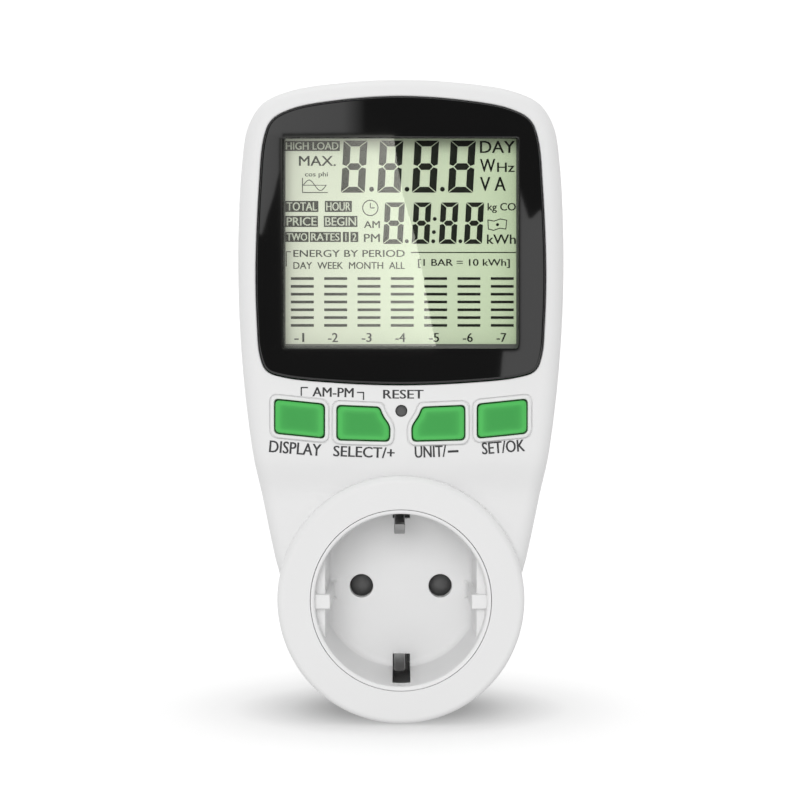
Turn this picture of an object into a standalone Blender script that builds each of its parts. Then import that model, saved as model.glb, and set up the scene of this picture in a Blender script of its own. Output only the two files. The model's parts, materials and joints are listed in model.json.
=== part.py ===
"""Plug-in power meter: a rear earthed plug, a front earthed socket and a display unit with four keys.

Millimetres are used for every dimension below and turned into metres when a mesh is made.
+X is to the right of someone facing the display, +Y runs from the display to the wall, +Z is up.
The origin is the centre of the rear plug's end face, on the line that the plug and the socket share.
"""

import math

import bmesh
import bpy
from mathutils import Vector

MM = 0.001
GAP = 0.3
ROUND_STEPS = 48

# Housing
HOUSING_TOP = 117.8
SIDE_POINTS = [
    (14.0, 117.05), (25.5, 115.2), (31.6, 112.3), (34.9, 107.0), (36.3, 98.0), (37.0, 85.0), (37.1, 73.0),
    (36.6, 59.0), (35.4, 45.0), (33.5, 31.0), (31.0, 18.0), (29.1, 9.0),
]
SOCKET_END_R = 27.8
SOCKET_END_START = 6.0
SIDE_STEPS = 2
SOCKET_END_STEPS = 12
WALL = 2.2
FACE_Y = -56.4
LOW_FACE_Y = -54.0
FACE_SLOPE = (22.0, 33.0)
FRONT_ROUND = 3.5
REAR_ROUND = 3.0
SPLIT_Y = -42.0
LIP_INSET = 1.3
LIP_LENGTH = 2.0
DISPLAY_REAR_Y = -30.0
SOCKET_REAR_Y = -18.0
REAR_SLOPE = (30.0, 42.0)
COVER_SCREWS = [(29.2, 109.6), (-29.2, 109.6), (17.4, -17.4), (-17.4, -17.4)]
POST_R = 2.4
COLUMN_R = 2.9
SCREW_R = 1.0
SCREW_HEAD_R = 1.9
SCREW_HEAD_H = 1.4
COUNTERBORE_Y = -38.5

# Collar and socket
COLLAR_Y = -58.0
COLLAR_R = 27.9
COLLAR_BACK_Y = -49.5
COLLAR_TUBE = (1.65, -46.0)
CUP_R = 20.2
CUP_CLEARANCE = 0.35
CUP_MOUTH_R = 19.3
CUP_CHAMFER = 0.9
CUP_FLAT_X = 17.1
CUP_FLAT_Y = -56.2
RIB_X = 15.9
RIB_HALF = 1.7
RIB_Y = -55.0
CUP_FLOOR_Y = -40.5
CUP_FLOOR_T = 2.0
PIN_X = 9.5
PIN_HOLE_R = 2.8
EARTH_SLOT = (-2.05, 2.2)
EARTH_SLOT_Y = -54.8
EARTH_CLIP = (-1.7, 0.85)
EARTH_CLIP_T = 0.7
EARTH_CLIP_PATH = [(-35.1, 11.0), (-35.1, 16.9), (-36.3, 18.3), (-41.0, 18.4), (-46.5, 15.8), (-49.5, 14.3),
                   (-52.0, 14.7), (-54.0, 17.2)]

# Plug
PLUG_R = 18.4
PLUG_CORE_R = 14.9
PLUG_END_T = 3.0
PLUG_GROOVE = (15.4, 2.4)
PLUG_NOTCH = (2.9, 16.3)
PLUG_PIN_R = 2.4
PLUG_PIN_LENGTH = 19.0
PIN_FLANGE_R = 3.4
PIN_TAIL_R = 2.0

# Display window, keys and boards
WINDOW_POINTS = [
    (0.0, 112.9), (15.5, 111.8), (24.6, 110.0), (28.9, 107.6), (30.6, 103.6), (31.7, 92.0), (32.4, 74.0),
    (32.1, 62.0), (31.5, 55.0), (30.1, 51.6), (26.5, 50.2), (15.6, 49.0), (0.0, 48.4),
]
BEZEL_Y = (-56.9, -54.2)
LCD_OPENING = (26.4, 56.4, 103.7)
PANE_Y = (-53.8, -52.8)
LCD_Y = (-52.5, -50.0)
LCD_SIZE = (27.2, 54.9, 105.2)
HOLDER_Y = (-53.9, -48.0)
HOLDER_SIZE = (28.2, 53.5, 106.3)
DISPLAY_BOARD_Y = (-47.7, -46.1)
MAIN_BOARD_Y = (-35.0, -33.4)
KEY_OUTER = [(-28.2, 44.8), (-17.35, 43.7), (-17.35, 36.4), (-28.2, 37.5)]
KEY_INNER = [(-14.2, 43.4), (-4.9, 43.0), (-4.3, 41.3), (-2.6, 38.8), (-2.75, 35.7), (-14.2, 36.0)]
KEY_ROUND = 0.9
KEY_RIM = 1.15
KEY_RIM_HEIGHT = 0.35
KEY_EDGE = 0.35
KEY_SKIRT_Y = -53.4
KEY_FLANGE = 0.75
KEY_FLANGE_Y = (-53.8, -52.9)
KEY_PUSHER_Y = (-53.2, -50.2)
AHEAD_Y = -60.0
HOLE_BACK_Y = -54.0
KEY_Y = -57.4
KEY_PUSHER_R = 1.8
RESET_AT = (0.0, 42.35)
RESET_R = 1.4
RESET_Y = -56.2
KEY_NAMES = ["mode_key", "up_key", "down_key", "set_key"]
DISPLAY_SCREWS = [(31.0, 47.4), (-31.0, 47.4), (26.0, 31.9), (-26.0, 31.9)]
MAIN_SCREWS = [(28.0, 101.0), (-28.0, 101.0), (27.5, 46.0), (-27.5, 46.0)]
PLATE_SIZE = (22.0, 56.0, 96.0)
CARRIER_SCREW = 12.9
RIVET_Z = 8.0

WHITE = (0.80, 0.80, 0.80)
DARK = (0.015, 0.015, 0.015)
STEEL = (0.62, 0.62, 0.60)
BRASS = (0.78, 0.60, 0.30)
BOARD_GREEN = (0.03, 0.20, 0.08)


# ---------------------------------------------------------------- helpers

def clear_scene():
    for item in list(bpy.data.objects):
        bpy.data.objects.remove(item, do_unlink=True)


def material(name, colour, roughness, metallic=0.0):
    existing = bpy.data.materials.get(name)
    if existing:
        return existing
    made = bpy.data.materials.new(name)
    made.use_nodes = True
    shader = made.node_tree.nodes["Principled BSDF"]
    shader.inputs["Base Color"].default_value = (*colour, 1.0)
    shader.inputs["Roughness"].default_value = roughness
    shader.inputs["Metallic"].default_value = metallic
    made.diffuse_color = (*colour, 1.0)
    return made


def add_object(name, bm, look, smooth_angle=35.0):
    """Turn a bmesh drawn in millimetres into an object in metres."""
    bmesh.ops.scale(bm, vec=Vector((MM, MM, MM)), verts=bm.verts)
    bmesh.ops.recalc_face_normals(bm, faces=bm.faces)
    mesh = bpy.data.meshes.new(name)
    bm.to_mesh(mesh)
    bm.free()
    mesh.shade_smooth()
    mesh.set_sharp_from_angle(angle=math.radians(smooth_angle))
    item = bpy.data.objects.new(name, mesh)
    bpy.context.scene.collection.objects.link(item)
    if look:
        mesh.materials.append(look)
    return item


def prism(name, outline, y_front, y_back, look=None):
    """A flat outline of (x, z) points, given a thickness along Y."""
    bm = bmesh.new()
    front = [bm.verts.new((x, y_front, z)) for x, z in outline]
    back = [bm.verts.new((x, y_back, z)) for x, z in outline]
    bm.faces.new(front)
    bm.faces.new(back[::-1])
    count = len(outline)
    for i in range(count):
        j = (i + 1) % count
        bm.faces.new((front[i], back[i], back[j], front[j]))
    return add_object(name, bm, look)


def block(name, xs, ys, zs, look=None):
    outline = [(xs[0], zs[0]), (xs[1], zs[0]), (xs[1], zs[1]), (xs[0], zs[1])]
    return prism(name, outline, ys[0], ys[1], look)


def profile_bar(name, outline, x_left, x_right, look=None):
    """A flat outline of (y, z) points, given a width along X."""
    bm = bmesh.new()
    left = [bm.verts.new((x_left, y, z)) for y, z in outline]
    right = [bm.verts.new((x_right, y, z)) for y, z in outline]
    bm.faces.new(left)
    bm.faces.new(right[::-1])
    count = len(outline)
    for i in range(count):
        j = (i + 1) % count
        bm.faces.new((left[i], right[i], right[j], left[j]))
    return add_object(name, bm, look)


def turned(name, profile, look=None, at=(0.0, 0.0), steps=32):
    """Turn a profile of (radius, y) points about a line along Y through the (x, z) point given.

    A profile that starts and ends on the line makes a solid with flat ends, any other a ring.
    """
    solid = profile[0][0] == 0.0
    bm = bmesh.new()
    rings = []
    for radius, y in profile[1:-1] if solid else profile:
        ring = []
        for k in range(steps):
            angle = 2.0 * math.pi * (k + 0.5) / steps
            ring.append(bm.verts.new((at[0] + radius * math.cos(angle), y, at[1] + radius * math.sin(angle))))
        rings.append(ring)
    pairs = list(zip(rings, rings[1:]))
    if solid:
        bm.faces.new(rings[0])
        bm.faces.new(rings[-1])
    else:
        pairs.append((rings[-1], rings[0]))
    for first, second in pairs:
        for k in range(steps):
            n = (k + 1) % steps
            bm.faces.new((first[k], second[k], second[n], first[n]))
    return add_object(name, bm, look)


def cylinder(name, radius, ys, at=(0.0, 0.0), look=None, steps=24):
    profile = [(0.0, ys[0]), (radius, ys[0]), (radius, ys[1]), (0.0, ys[1])]
    return turned(name, profile, look, at, steps)


def hide(cutter):
    cutter.hide_render = True
    cutter.display_type = "WIRE"


def combine(target, others, operation):
    for other in others:
        step = target.modifiers.new(other.name, "BOOLEAN")
        step.operation = operation
        step.solver = "EXACT"
        step.object = other
        hide(other)


def cut(target, *cutters):
    combine(target, cutters, "DIFFERENCE")


def fuse(target, *pieces):
    combine(target, pieces, "UNION")


def mirrored(points):
    """Close a right-hand outline that runs from the top to the bottom with its left-hand half."""
    left = [(-x, z) for x, z in reversed(points) if x > 1e-6]
    return list(points) + left


def smooth_path(points, steps):
    """Points along a centripetal spline from the second point to the one before last."""
    path = []
    for a, b, c, d in zip(points, points[1:], points[2:], points[3:]):
        a, b, c, d = Vector(a), Vector(b), Vector(c), Vector(d)
        t1 = math.sqrt((b - a).length)
        t2 = t1 + math.sqrt((c - b).length)
        t3 = t2 + math.sqrt((d - c).length)
        for k in range(steps):
            t = t1 + (t2 - t1) * k / steps
            p = a * (t1 - t) / t1 + b * t / t1
            q = b * (t2 - t) / (t2 - t1) + c * (t - t1) / (t2 - t1)
            r = c * (t3 - t) / (t3 - t2) + d * (t - t2) / (t3 - t2)
            u = p * (t2 - t) / t2 + q * t / t2
            v = q * (t3 - t) / (t3 - t1) + r * (t - t1) / (t3 - t1)
            path.append(tuple(u * (t2 - t) / (t2 - t1) + v * (t - t1) / (t2 - t1)))
    path.append(tuple(points[-2]))
    return path


def inset_path(points, distance):
    """Move a right-hand outline inwards, keeping its two ends on the centre line."""
    moved = []
    last = len(points) - 1
    for i, point in enumerate(points):
        before = Vector(points[max(i - 1, 0)])
        after = Vector(points[min(i + 1, last)])
        along = (after - before).normalized()
        if i in (0, last):
            along = Vector((1.0, 0.0)) if i == 0 else Vector((-1.0, 0.0))
        inward = Vector((along.y, -along.x))
        moved.append(tuple(Vector(point) + inward * distance))
    moved[0] = (0.0, moved[0][1])
    moved[last] = (0.0, moved[last][1])
    return moved


def grow_corners(corners, distance):
    """Offset a convex or nearly convex polygon outwards, corner by corner."""
    centre = Vector((sum(x for x, z in corners), sum(z for x, z in corners))) / len(corners)
    grown = []
    count = len(corners)
    for i in range(count):
        before, here, after = (Vector(corners[(i + k) % count]) for k in (-1, 0, 1))
        normals = []
        for start, end in ((before, here), (here, after)):
            edge = (end - start).normalized()
            normal = Vector((edge.y, -edge.x))
            if normal.dot((start + end) / 2.0 - centre) < 0.0:
                normal = -normal
            normals.append(normal)
        bisector = (normals[0] + normals[1]).normalized()
        grown.append(tuple(here + bisector * distance / max(bisector.dot(normals[0]), 0.4)))
    return grown


def round_corners(corners, radius, steps=3):
    """Replace each corner of a polygon by a short curve."""
    outline = []
    count = len(corners)
    for i in range(count):
        before, here, after = (Vector(corners[(i + k) % count]) for k in (-1, 0, 1))
        reach = min(radius, (before - here).length * 0.45, (after - here).length * 0.45)
        start = here + (before - here).normalized() * reach
        end = here + (after - here).normalized() * reach
        for k in range(steps + 1):
            t = k / steps
            outline.append(tuple(start * (1 - t) ** 2 + here * 2 * t * (1 - t) + end * t ** 2))
    return outline


def smooth_step(value, low, high):
    t = min(max((value - low) / (high - low), 0.0), 1.0)
    return t * t * (3.0 - 2.0 * t)


# ---------------------------------------------------------------- housing

def housing_side():
    """Right-hand outline of the housing, from the top centre to the bottom centre."""
    first_angle = math.radians(SOCKET_END_START)
    end_arc = []
    for k in range(SOCKET_END_STEPS + 1):
        angle = first_angle - (first_angle + math.pi / 2.0) * k / SOCKET_END_STEPS
        end_arc.append((SOCKET_END_R * math.cos(angle), SOCKET_END_R * math.sin(angle)))
    end_arc[-1] = (0.0, -SOCKET_END_R)
    first = SIDE_POINTS[0]
    guide = [(-first[0], first[1]), (0.0, HOUSING_TOP)] + SIDE_POINTS + end_arc[:2]
    return smooth_path(guide, SIDE_STEPS) + end_arc[1:]


def face_y(z):
    return LOW_FACE_Y + (FACE_Y - LOW_FACE_Y) * smooth_step(z, *FACE_SLOPE)


def rear_y(z):
    return SOCKET_REAR_Y + (DISPLAY_REAR_Y - SOCKET_REAR_Y) * smooth_step(z, *REAR_SLOPE)


def shell(name, levels, look):
    """Skin rings of the housing outline; each level is (inset, function giving y from z).

    The first and last rings are closed with strips that run straight across from side to side.
    """
    side = housing_side()
    bm = bmesh.new()
    rings = []
    for inset, depth in levels:
        half = inset_path(side, inset)
        loop = mirrored(half)
        rings.append([bm.verts.new((x, depth(z), z)) for x, z in loop])
    count = len(rings[0])
    for first, second in zip(rings, rings[1:]):
        for i in range(count):
            j = (i + 1) % count
            bm.faces.new((first[i], first[j], second[j], second[i]))
    for ring in (rings[0], rings[-1]):
        bm.faces.new((ring[0], ring[1], ring[-1]))
        for i in range(1, len(side) - 2):
            bm.faces.new((ring[i], ring[i + 1], ring[-i - 1], ring[-i]))
        bottom = len(side) - 1
        bm.faces.new((ring[bottom - 1], ring[bottom], ring[bottom + 1]))
    return add_object(name, bm, look, 50.0)


def level(inset, y):
    return (inset, lambda z: y)


def surface_level(inset, base, offset):
    return (inset, lambda z: base(z) + offset)


def rounding(base, radius, direction, steps=3):
    """Levels that roll from a flat face over to the side of the housing."""
    levels = []
    for k in range(steps + 1):
        angle = math.pi / 2.0 * k / steps
        inset = radius * (1.0 - math.sin(angle))
        offset = direction * radius * (1.0 - math.cos(angle))
        levels.append(surface_level(inset, base, offset))
    return levels


def window_outline(grow=0.0):
    guide = [(-WINDOW_POINTS[1][0], WINDOW_POINTS[1][1])] + WINDOW_POINTS
    guide.append((-WINDOW_POINTS[-2][0], WINDOW_POINTS[-2][1]))
    return mirrored(inset_path(smooth_path(guide, 2), -grow))


def key_corners(index):
    corners = KEY_OUTER if index in (0, 3) else KEY_INNER
    return corners if index < 2 else [(-x, z) for x, z in reversed(corners)]


def key_centre(index):
    corners = key_corners(index)
    xs = [x for x, z in corners]
    zs = [z for x, z in corners]
    return ((min(xs) + max(xs)) / 2.0, (min(zs) + max(zs)) / 2.0)


def front_cover(look):
    levels = rounding(face_y, FRONT_ROUND, 1.0)
    levels += [
        level(0.0, SPLIT_Y),
        level(LIP_INSET - GAP, SPLIT_Y),
        level(LIP_INSET - GAP, SPLIT_Y - LIP_LENGTH - GAP),
        level(WALL, SPLIT_Y - LIP_LENGTH - GAP),
        surface_level(WALL, face_y, FRONT_ROUND),
        surface_level(FRONT_ROUND, face_y, WALL),
    ]
    cover = shell("front_cover", levels, look)
    tube_r = CUP_R + CUP_CLEARANCE
    tube_t, tube_back = COLLAR_TUBE
    outer_in = COLLAR_R - WALL
    collar = turned("collar_ring", [
        (tube_r, COLLAR_Y), (COLLAR_R - 2.6, COLLAR_Y), (COLLAR_R - 1.4, COLLAR_Y + 0.35),
        (COLLAR_R - 0.5, COLLAR_Y + 1.3), (COLLAR_R, COLLAR_Y + 3.0), (COLLAR_R, COLLAR_BACK_Y),
        (outer_in, COLLAR_BACK_Y), (outer_in, COLLAR_Y + WALL), (tube_r + tube_t, COLLAR_Y + WALL),
        (tube_r + tube_t, tube_back), (tube_r, tube_back),
    ], steps=ROUND_STEPS)
    cut(cover, cylinder("collar_seat", COLLAR_R - 1.4, (-62.0, -46.5), steps=ROUND_STEPS))
    fuse(cover, collar)
    for index, at in enumerate(COVER_SCREWS):
        start = FACE_Y + 1.8 if at[1] > 0.0 else COLLAR_Y + 1.8
        fuse(cover, cylinder(f"front_post_{index}", POST_R, (start, SPLIT_Y), at, steps=12))
        cut(cover, cylinder(f"front_post_hole_{index}", SCREW_R + GAP, (-51.0, SPLIT_Y + 1.0), at, steps=8))
    for index, at in enumerate(DISPLAY_SCREWS):
        start = face_y(at[1]) + 1.6
        end = DISPLAY_BOARD_Y[0] - GAP
        fuse(cover, cylinder(f"board_post_{index}", 2.0, (start, end), at, steps=12))
        cut(cover, cylinder(f"board_post_hole_{index}", SCREW_R + GAP, (start + 1.0, end + 1.0), at, steps=8))
    cut(cover, prism("window_hole", window_outline(GAP), AHEAD_Y, HOLE_BACK_Y))
    for index in range(4):
        outline = round_corners(grow_corners(key_corners(index), KEY_RIM), KEY_ROUND + 1.0)
        fuse(cover, prism(f"key_rim_{index}", outline, FACE_Y - KEY_RIM_HEIGHT, FACE_Y + 1.0))
    for index in range(4):
        outline = round_corners(grow_corners(key_corners(index), GAP), KEY_ROUND)
        cut(cover, prism(f"key_hole_{index}", outline, AHEAD_Y, HOLE_BACK_Y))
    cut(cover, cylinder("reset_hole", RESET_R + GAP, (AHEAD_Y, -53.0), RESET_AT, steps=16))
    for sign in (1.0, -1.0):
        zs = (18.0 * sign, 24.5 * sign)
        name = "upper" if sign > 0.0 else "lower"
        cut(cover, block(f"collar_slot_{name}", EARTH_SLOT, (EARTH_SLOT_Y, -44.0), sorted(zs)))
    return cover


def rear_cover(look):
    levels = rounding(rear_y, REAR_ROUND, -1.0)
    rim = SPLIT_Y + GAP
    levels += [
        level(0.0, rim),
        level(LIP_INSET, rim),
        level(LIP_INSET, SPLIT_Y - LIP_LENGTH),
        level(WALL, SPLIT_Y - LIP_LENGTH),
        surface_level(WALL, rear_y, -REAR_ROUND),
        surface_level(REAR_ROUND, rear_y, -WALL),
    ]
    cover = shell("rear_cover", levels, look)
    for index, at in enumerate(COVER_SCREWS):
        rear = rear_y(at[1])
        cut(cover, cylinder(f"lip_gap_{index}", POST_R + GAP, (SPLIT_Y - 5.0, rim), at, steps=12))
        fuse(cover, cylinder(f"rear_column_{index}", COLUMN_R, (rim, rear - 1.0), at, steps=12))
        cut(cover, cylinder(f"screw_bore_{index}", SCREW_R + GAP, (rim - 1.0, rear + 1.0), at, steps=8))
        head_r = SCREW_HEAD_R + GAP
        cut(cover, cylinder(f"screw_pocket_{index}", head_r, (COUNTERBORE_Y, rear + 1.0), at, steps=12))
    boss_front = SOCKET_REAR_Y - 1.1
    fuse(cover, cylinder("plug_boss", PLUG_R, (boss_front, 0.0), steps=ROUND_STEPS))
    cut(cover, cylinder("plug_core", PLUG_CORE_R, (-30.0, -PLUG_END_T), steps=32))
    for side in (1.0, -1.0):
        name = "right" if side > 0.0 else "left"
        groove = sorted((PLUG_GROOVE[0] * side, 20.0 * side))
        half = PLUG_GROOVE[1]
        cut(cover, block(f"plug_groove_{name}", groove, (SOCKET_REAR_Y + 0.5, 1.0), (-half, half)))
        notch = sorted((PLUG_NOTCH[1] * side, 20.0 * side))
        half = PLUG_NOTCH[0]
        cut(cover, block(f"earth_notch_{name}", (-half, half), (SOCKET_REAR_Y, 1.0), notch))
        slot = sorted((PLUG_NOTCH[1] * side, (PLUG_NOTCH[1] + 1.4) * side))
        cut(cover, block(f"earth_pass_{name}", (-half, half), (-24.0, SOCKET_REAR_Y + 1.0), slot))
        at = (PIN_X * side, 0.0)
        cut(cover, cylinder(f"pin_pass_{name}", PLUG_PIN_R + GAP, (-6.0, 1.0), at, steps=20))
    for index, at in enumerate(MAIN_SCREWS):
        start = MAIN_BOARD_Y[1] + GAP
        fuse(cover, cylinder(f"standoff_{index}", 2.4, (start, DISPLAY_REAR_Y - 1.2), at, steps=12))
        cut(cover, cylinder(f"standoff_hole_{index}", SCREW_R + GAP, (start - 1.0, -30.9), at, steps=8))
    plate_xs = (-PLATE_SIZE[0] - GAP, PLATE_SIZE[0] + GAP)
    plate_zs = (PLATE_SIZE[1] - GAP, PLATE_SIZE[2] + GAP)
    cut(cover, block("plate_recess", plate_xs, (DISPLAY_REAR_Y - 0.6, DISPLAY_REAR_Y + 1.0), plate_zs))
    return cover


# ---------------------------------------------------------------- socket

def flat_sided_circle(radius, flat_x, rib_x=None, rib_half=0.0, steps=12):
    """A circle with a flat on its left and its right, and a rib standing out of each flat if wanted."""
    reach = math.acos(flat_x / radius)
    upper = []
    for k in range(steps + 1):
        angle = reach + (math.pi - 2.0 * reach) * k / steps
        upper.append((radius * math.cos(angle), radius * math.sin(angle)))
    outline = list(upper)
    if rib_x:
        outline += [(-flat_x, rib_half), (-rib_x, rib_half), (-rib_x, -rib_half), (-flat_x, -rib_half)]
    outline += [(-x, -z) for x, z in upper]
    if rib_x:
        outline += [(flat_x, -rib_half), (rib_x, -rib_half), (rib_x, rib_half), (flat_x, rib_half)]
    return outline


def socket_cup(look):
    floor_back = CUP_FLOOR_Y + CUP_FLOOR_T
    cup = turned("socket_cup", [
        (0.0, COLLAR_Y), (CUP_R, COLLAR_Y), (CUP_R, -45.6), (CUP_R + 1.2, -45.6), (CUP_R + 1.2, -43.6),
        (CUP_R + 0.4, -43.6), (CUP_R + 0.4, floor_back), (0.0, floor_back),
    ], look, steps=ROUND_STEPS)
    outside = COLLAR_Y - 1.0
    slope = CUP_R - 0.2 - CUP_MOUTH_R
    cut(cup, turned("mouth_cutter", [
        (0.0, outside), (CUP_R - 0.2 + slope / CUP_CHAMFER, outside),
        (CUP_MOUTH_R, COLLAR_Y + CUP_CHAMFER), (CUP_MOUTH_R, CUP_FLAT_Y), (0.0, CUP_FLAT_Y),
    ], steps=ROUND_STEPS))
    cut(cup, prism("recess_front_cutter", flat_sided_circle(CUP_MOUTH_R, CUP_FLAT_X),
                   CUP_FLAT_Y - 0.5, RIB_Y))
    cut(cup, prism("recess_cutter", flat_sided_circle(CUP_MOUTH_R, CUP_FLAT_X, RIB_X, RIB_HALF),
                   RIB_Y - 0.5, CUP_FLOOR_Y))
    for sign in (1.0, -1.0):
        name = "upper" if sign > 0.0 else "lower"
        wall = sorted((18.0 * sign, 24.0 * sign))
        cut(cup, block(f"wall_slot_{name}", EARTH_SLOT, (EARTH_SLOT_Y, -37.0), wall))
        floor = sorted((16.3 * sign, 19.0 * sign))
        cut(cup, block(f"floor_slot_{name}", EARTH_SLOT, (-42.0, -37.0), floor))
    for sign in (1.0, -1.0):
        at = (PIN_X * sign, 0.0)
        name = "right" if sign > 0.0 else "left"
        cut(cup, cylinder(f"pin_hole_{name}", PIN_HOLE_R, (-43.0, -37.0), at, steps=24))
        at = (CARRIER_SCREW * sign, CARRIER_SCREW * sign)
        fuse(cup, cylinder(f"cup_pillar_{name}", 2.2, (floor_back - 0.7, -34.5), at, steps=12))
        cut(cup, cylinder(f"pillar_hole_{name}", SCREW_R + GAP, (-38.4, -34.0), at, steps=8))
    return cup


def thick_path(points, thickness):
    """Give an open path of (y, z) points a thickness, half to each side."""
    half = thickness / 2.0
    one_side = []
    other_side = []
    last = len(points) - 1
    for i, point in enumerate(points):
        along = (Vector(points[min(i + 1, last)]) - Vector(points[max(i - 1, 0)])).normalized()
        normal = Vector((-along.y, along.x)) * half
        one_side.append(tuple(Vector(point) + normal))
        other_side.append(tuple(Vector(point) - normal))
    return one_side + other_side[::-1]


def clip_path():
    """Side view of one earth clip: up behind the floor, through it and forward into the recess."""
    start = EARTH_CLIP_PATH[0]
    end = EARTH_CLIP_PATH[-1]
    before = (start[0], start[1] - 3.0)
    after = (end[0] - 1.0, end[1] + 1.5)
    return smooth_path([before] + EARTH_CLIP_PATH + [after], 2)


def socket_earth_bracket(look):
    plate = [(4.0, 12.0), (4.0, -12.0), (-4.0, -12.0), (-4.0, 12.0)]
    bracket = prism("socket_earth_bracket", plate, -35.3, -34.5, look)
    for sign in (1.0, -1.0):
        name = "upper" if sign > 0.0 else "lower"
        outline = [(y, z * sign) for y, z in thick_path(clip_path(), EARTH_CLIP_T)]
        fuse(bracket, profile_bar(f"clip_{name}", outline, *EARTH_CLIP))
    cut(bracket, cylinder("post_clearance", 2.4, (-37.0, -33.0), steps=20))
    cut(bracket, cylinder("rivet_clearance_front", 1.8, (-37.0, -33.0), (0.0, RIVET_Z), steps=16))
    return bracket


def shutter(look):
    """Two blades that cover the pin holes, turning about the socket's own line."""
    outline = []
    for side in (0.0, math.pi):
        for k in range(7):
            angle = side + math.radians(-21.0 + 7.0 * k)
            outline.append((13.0 * math.cos(angle), 13.0 * math.sin(angle)))
        for k in range(5):
            angle = side + math.radians(50.0 + 20.0 * k)
            outline.append((4.8 * math.cos(angle), 4.8 * math.sin(angle)))
    blade = prism("pin_shutter", outline, -38.2, -35.6, look)
    cut(blade, cylinder("shutter_bore", 2.35, (-40.0, -34.0), steps=20))
    cut(blade, cylinder("spring_pocket", 4.1, (-36.9, -35.0), steps=20))
    return blade


def tube_curve(name, points, radius, look):
    curve = bpy.data.curves.new(name, "CURVE")
    curve.dimensions = "3D"
    curve.bevel_depth = radius * MM
    curve.bevel_resolution = 1
    curve.use_fill_caps = True
    spline = curve.splines.new("POLY")
    spline.points.add(len(points) - 1)
    for target, point in zip(spline.points, points):
        target.co = (point[0] * MM, point[1] * MM, point[2] * MM, 1.0)
    curve.materials.append(look)
    item = bpy.data.objects.new(name, curve)
    bpy.context.scene.collection.objects.link(item)
    return item


def shutter_spring(look):
    turns = 1.6
    steps = 16
    points = []
    for k in range(steps + 1):
        angle = 2.0 * math.pi * turns * k / steps
        points.append((3.2 * math.cos(angle), -36.55 + 0.65 * k / steps, 3.2 * math.sin(angle)))
    return tube_curve("shutter_spring", points, 0.2, look)


def contact_carrier(look):
    carrier = turned("contact_carrier", [
        (0.0, -38.2), (2.0, -38.2), (2.0, -34.2), (20.0, -34.2), (20.0, -31.2), (15.9, -31.2),
        (15.9, -22.6), (0.0, -22.6),
    ], look, steps=32)
    for sign in (1.0, -1.0):
        name = "right" if sign > 0.0 else "left"
        pocket = sorted((5.0 * sign, 14.0 * sign))
        cut(carrier, block(f"contact_pocket_{name}", pocket, (-36.0, -23.6), (-4.4, 4.4)))
        tail = sorted((7.2 * sign, 11.8 * sign))
        cut(carrier, block(f"tail_slot_{name}", tail, (-36.0, -23.7), (3.0, 18.0)))
        at = (CARRIER_SCREW * sign, CARRIER_SCREW * sign)
        cut(carrier, cylinder(f"carrier_bore_{name}", SCREW_R + GAP, (-36.0, -30.0), at, steps=8))
        notch = sorted((17.0 * sign, 22.0 * sign))
        cut(carrier, block(f"clip_notch_{name}", (-2.4, 1.6), (-36.0, -30.0), notch))
    cut(carrier, cylinder("neutral_tail_hole", PIN_TAIL_R + GAP, (-26.0, -21.0), (PIN_X, 0.0), steps=16))
    cut(carrier, cylinder("rivet_hole", 1.8, (-36.0, -21.0), (0.0, RIVET_Z), steps=16))
    return carrier


def pin_contact(name, side, look):
    """Two spring leaves that grip an inserted pin, with a tail that runs up to the wiring."""
    x = PIN_X * side
    leaves = [(-33.9, 3.7), (-24.0, 3.7), (-24.0, -3.7), (-33.9, -3.7), (-33.9, -2.9), (-24.8, -2.9),
              (-24.8, 2.9), (-33.9, 2.9)]
    contact = profile_bar(name, leaves, x - 3.9, x + 3.9, look)
    tail = [(-24.8, 3.3), (-24.0, 3.3), (-24.0, 24.0), (-24.8, 24.0)]
    fuse(contact, profile_bar(f"{name}_tail", tail, x - 2.0, x + 2.0))
    return contact


# ---------------------------------------------------------------- plug

def plug_pin(name, side, tail_end, look):
    tip = PLUG_PIN_LENGTH
    profile = [(0.0, tip), (1.2, tip), (PLUG_PIN_R, tip - 1.5), (PLUG_PIN_R, -3.3), (PIN_FLANGE_R, -3.3),
               (PIN_FLANGE_R, -5.0), (PIN_TAIL_R, -5.0), (PIN_TAIL_R, tail_end), (0.0, tail_end)]
    return turned(name, profile, look, (PIN_X * side, 0.0), steps=16)


def pin_retainer(look):
    plate = cylinder("pin_retainer", PLUG_CORE_R - 0.4, (-8.0, -5.3), look=look, steps=24)
    for side in (1.0, -1.0):
        at = (PIN_X * side, 0.0)
        name = "right" if side > 0.0 else "left"
        cut(plate, cylinder(f"retainer_hole_{name}", PIN_TAIL_R + GAP, (-9.0, -4.0), at, steps=12))
    return plate


def plug_earth_bracket(look):
    strip = [(-21.6, 17.4), (-0.9, 17.4), (-0.9, 16.6), (-20.8, 16.6), (-20.8, -16.6), (-0.9, -16.6),
             (-0.9, -17.4), (-21.6, -17.4)]
    bracket = profile_bar("plug_earth_bracket", strip, -2.5, 2.5, look)
    cut(bracket, cylinder("rivet_clearance_rear", 1.8, (-23.0, -19.0), (0.0, RIVET_Z), steps=16))
    return bracket


def earth_rivet(look):
    profile = [(0.0, -35.4), (1.5, -35.4), (1.5, -20.5), (2.2, -20.5), (2.2, -19.8), (0.0, -19.8)]
    return turned("earth_rivet", profile, look, (0.0, RIVET_Z), steps=16)


# ---------------------------------------------------------------- display and keys

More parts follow.
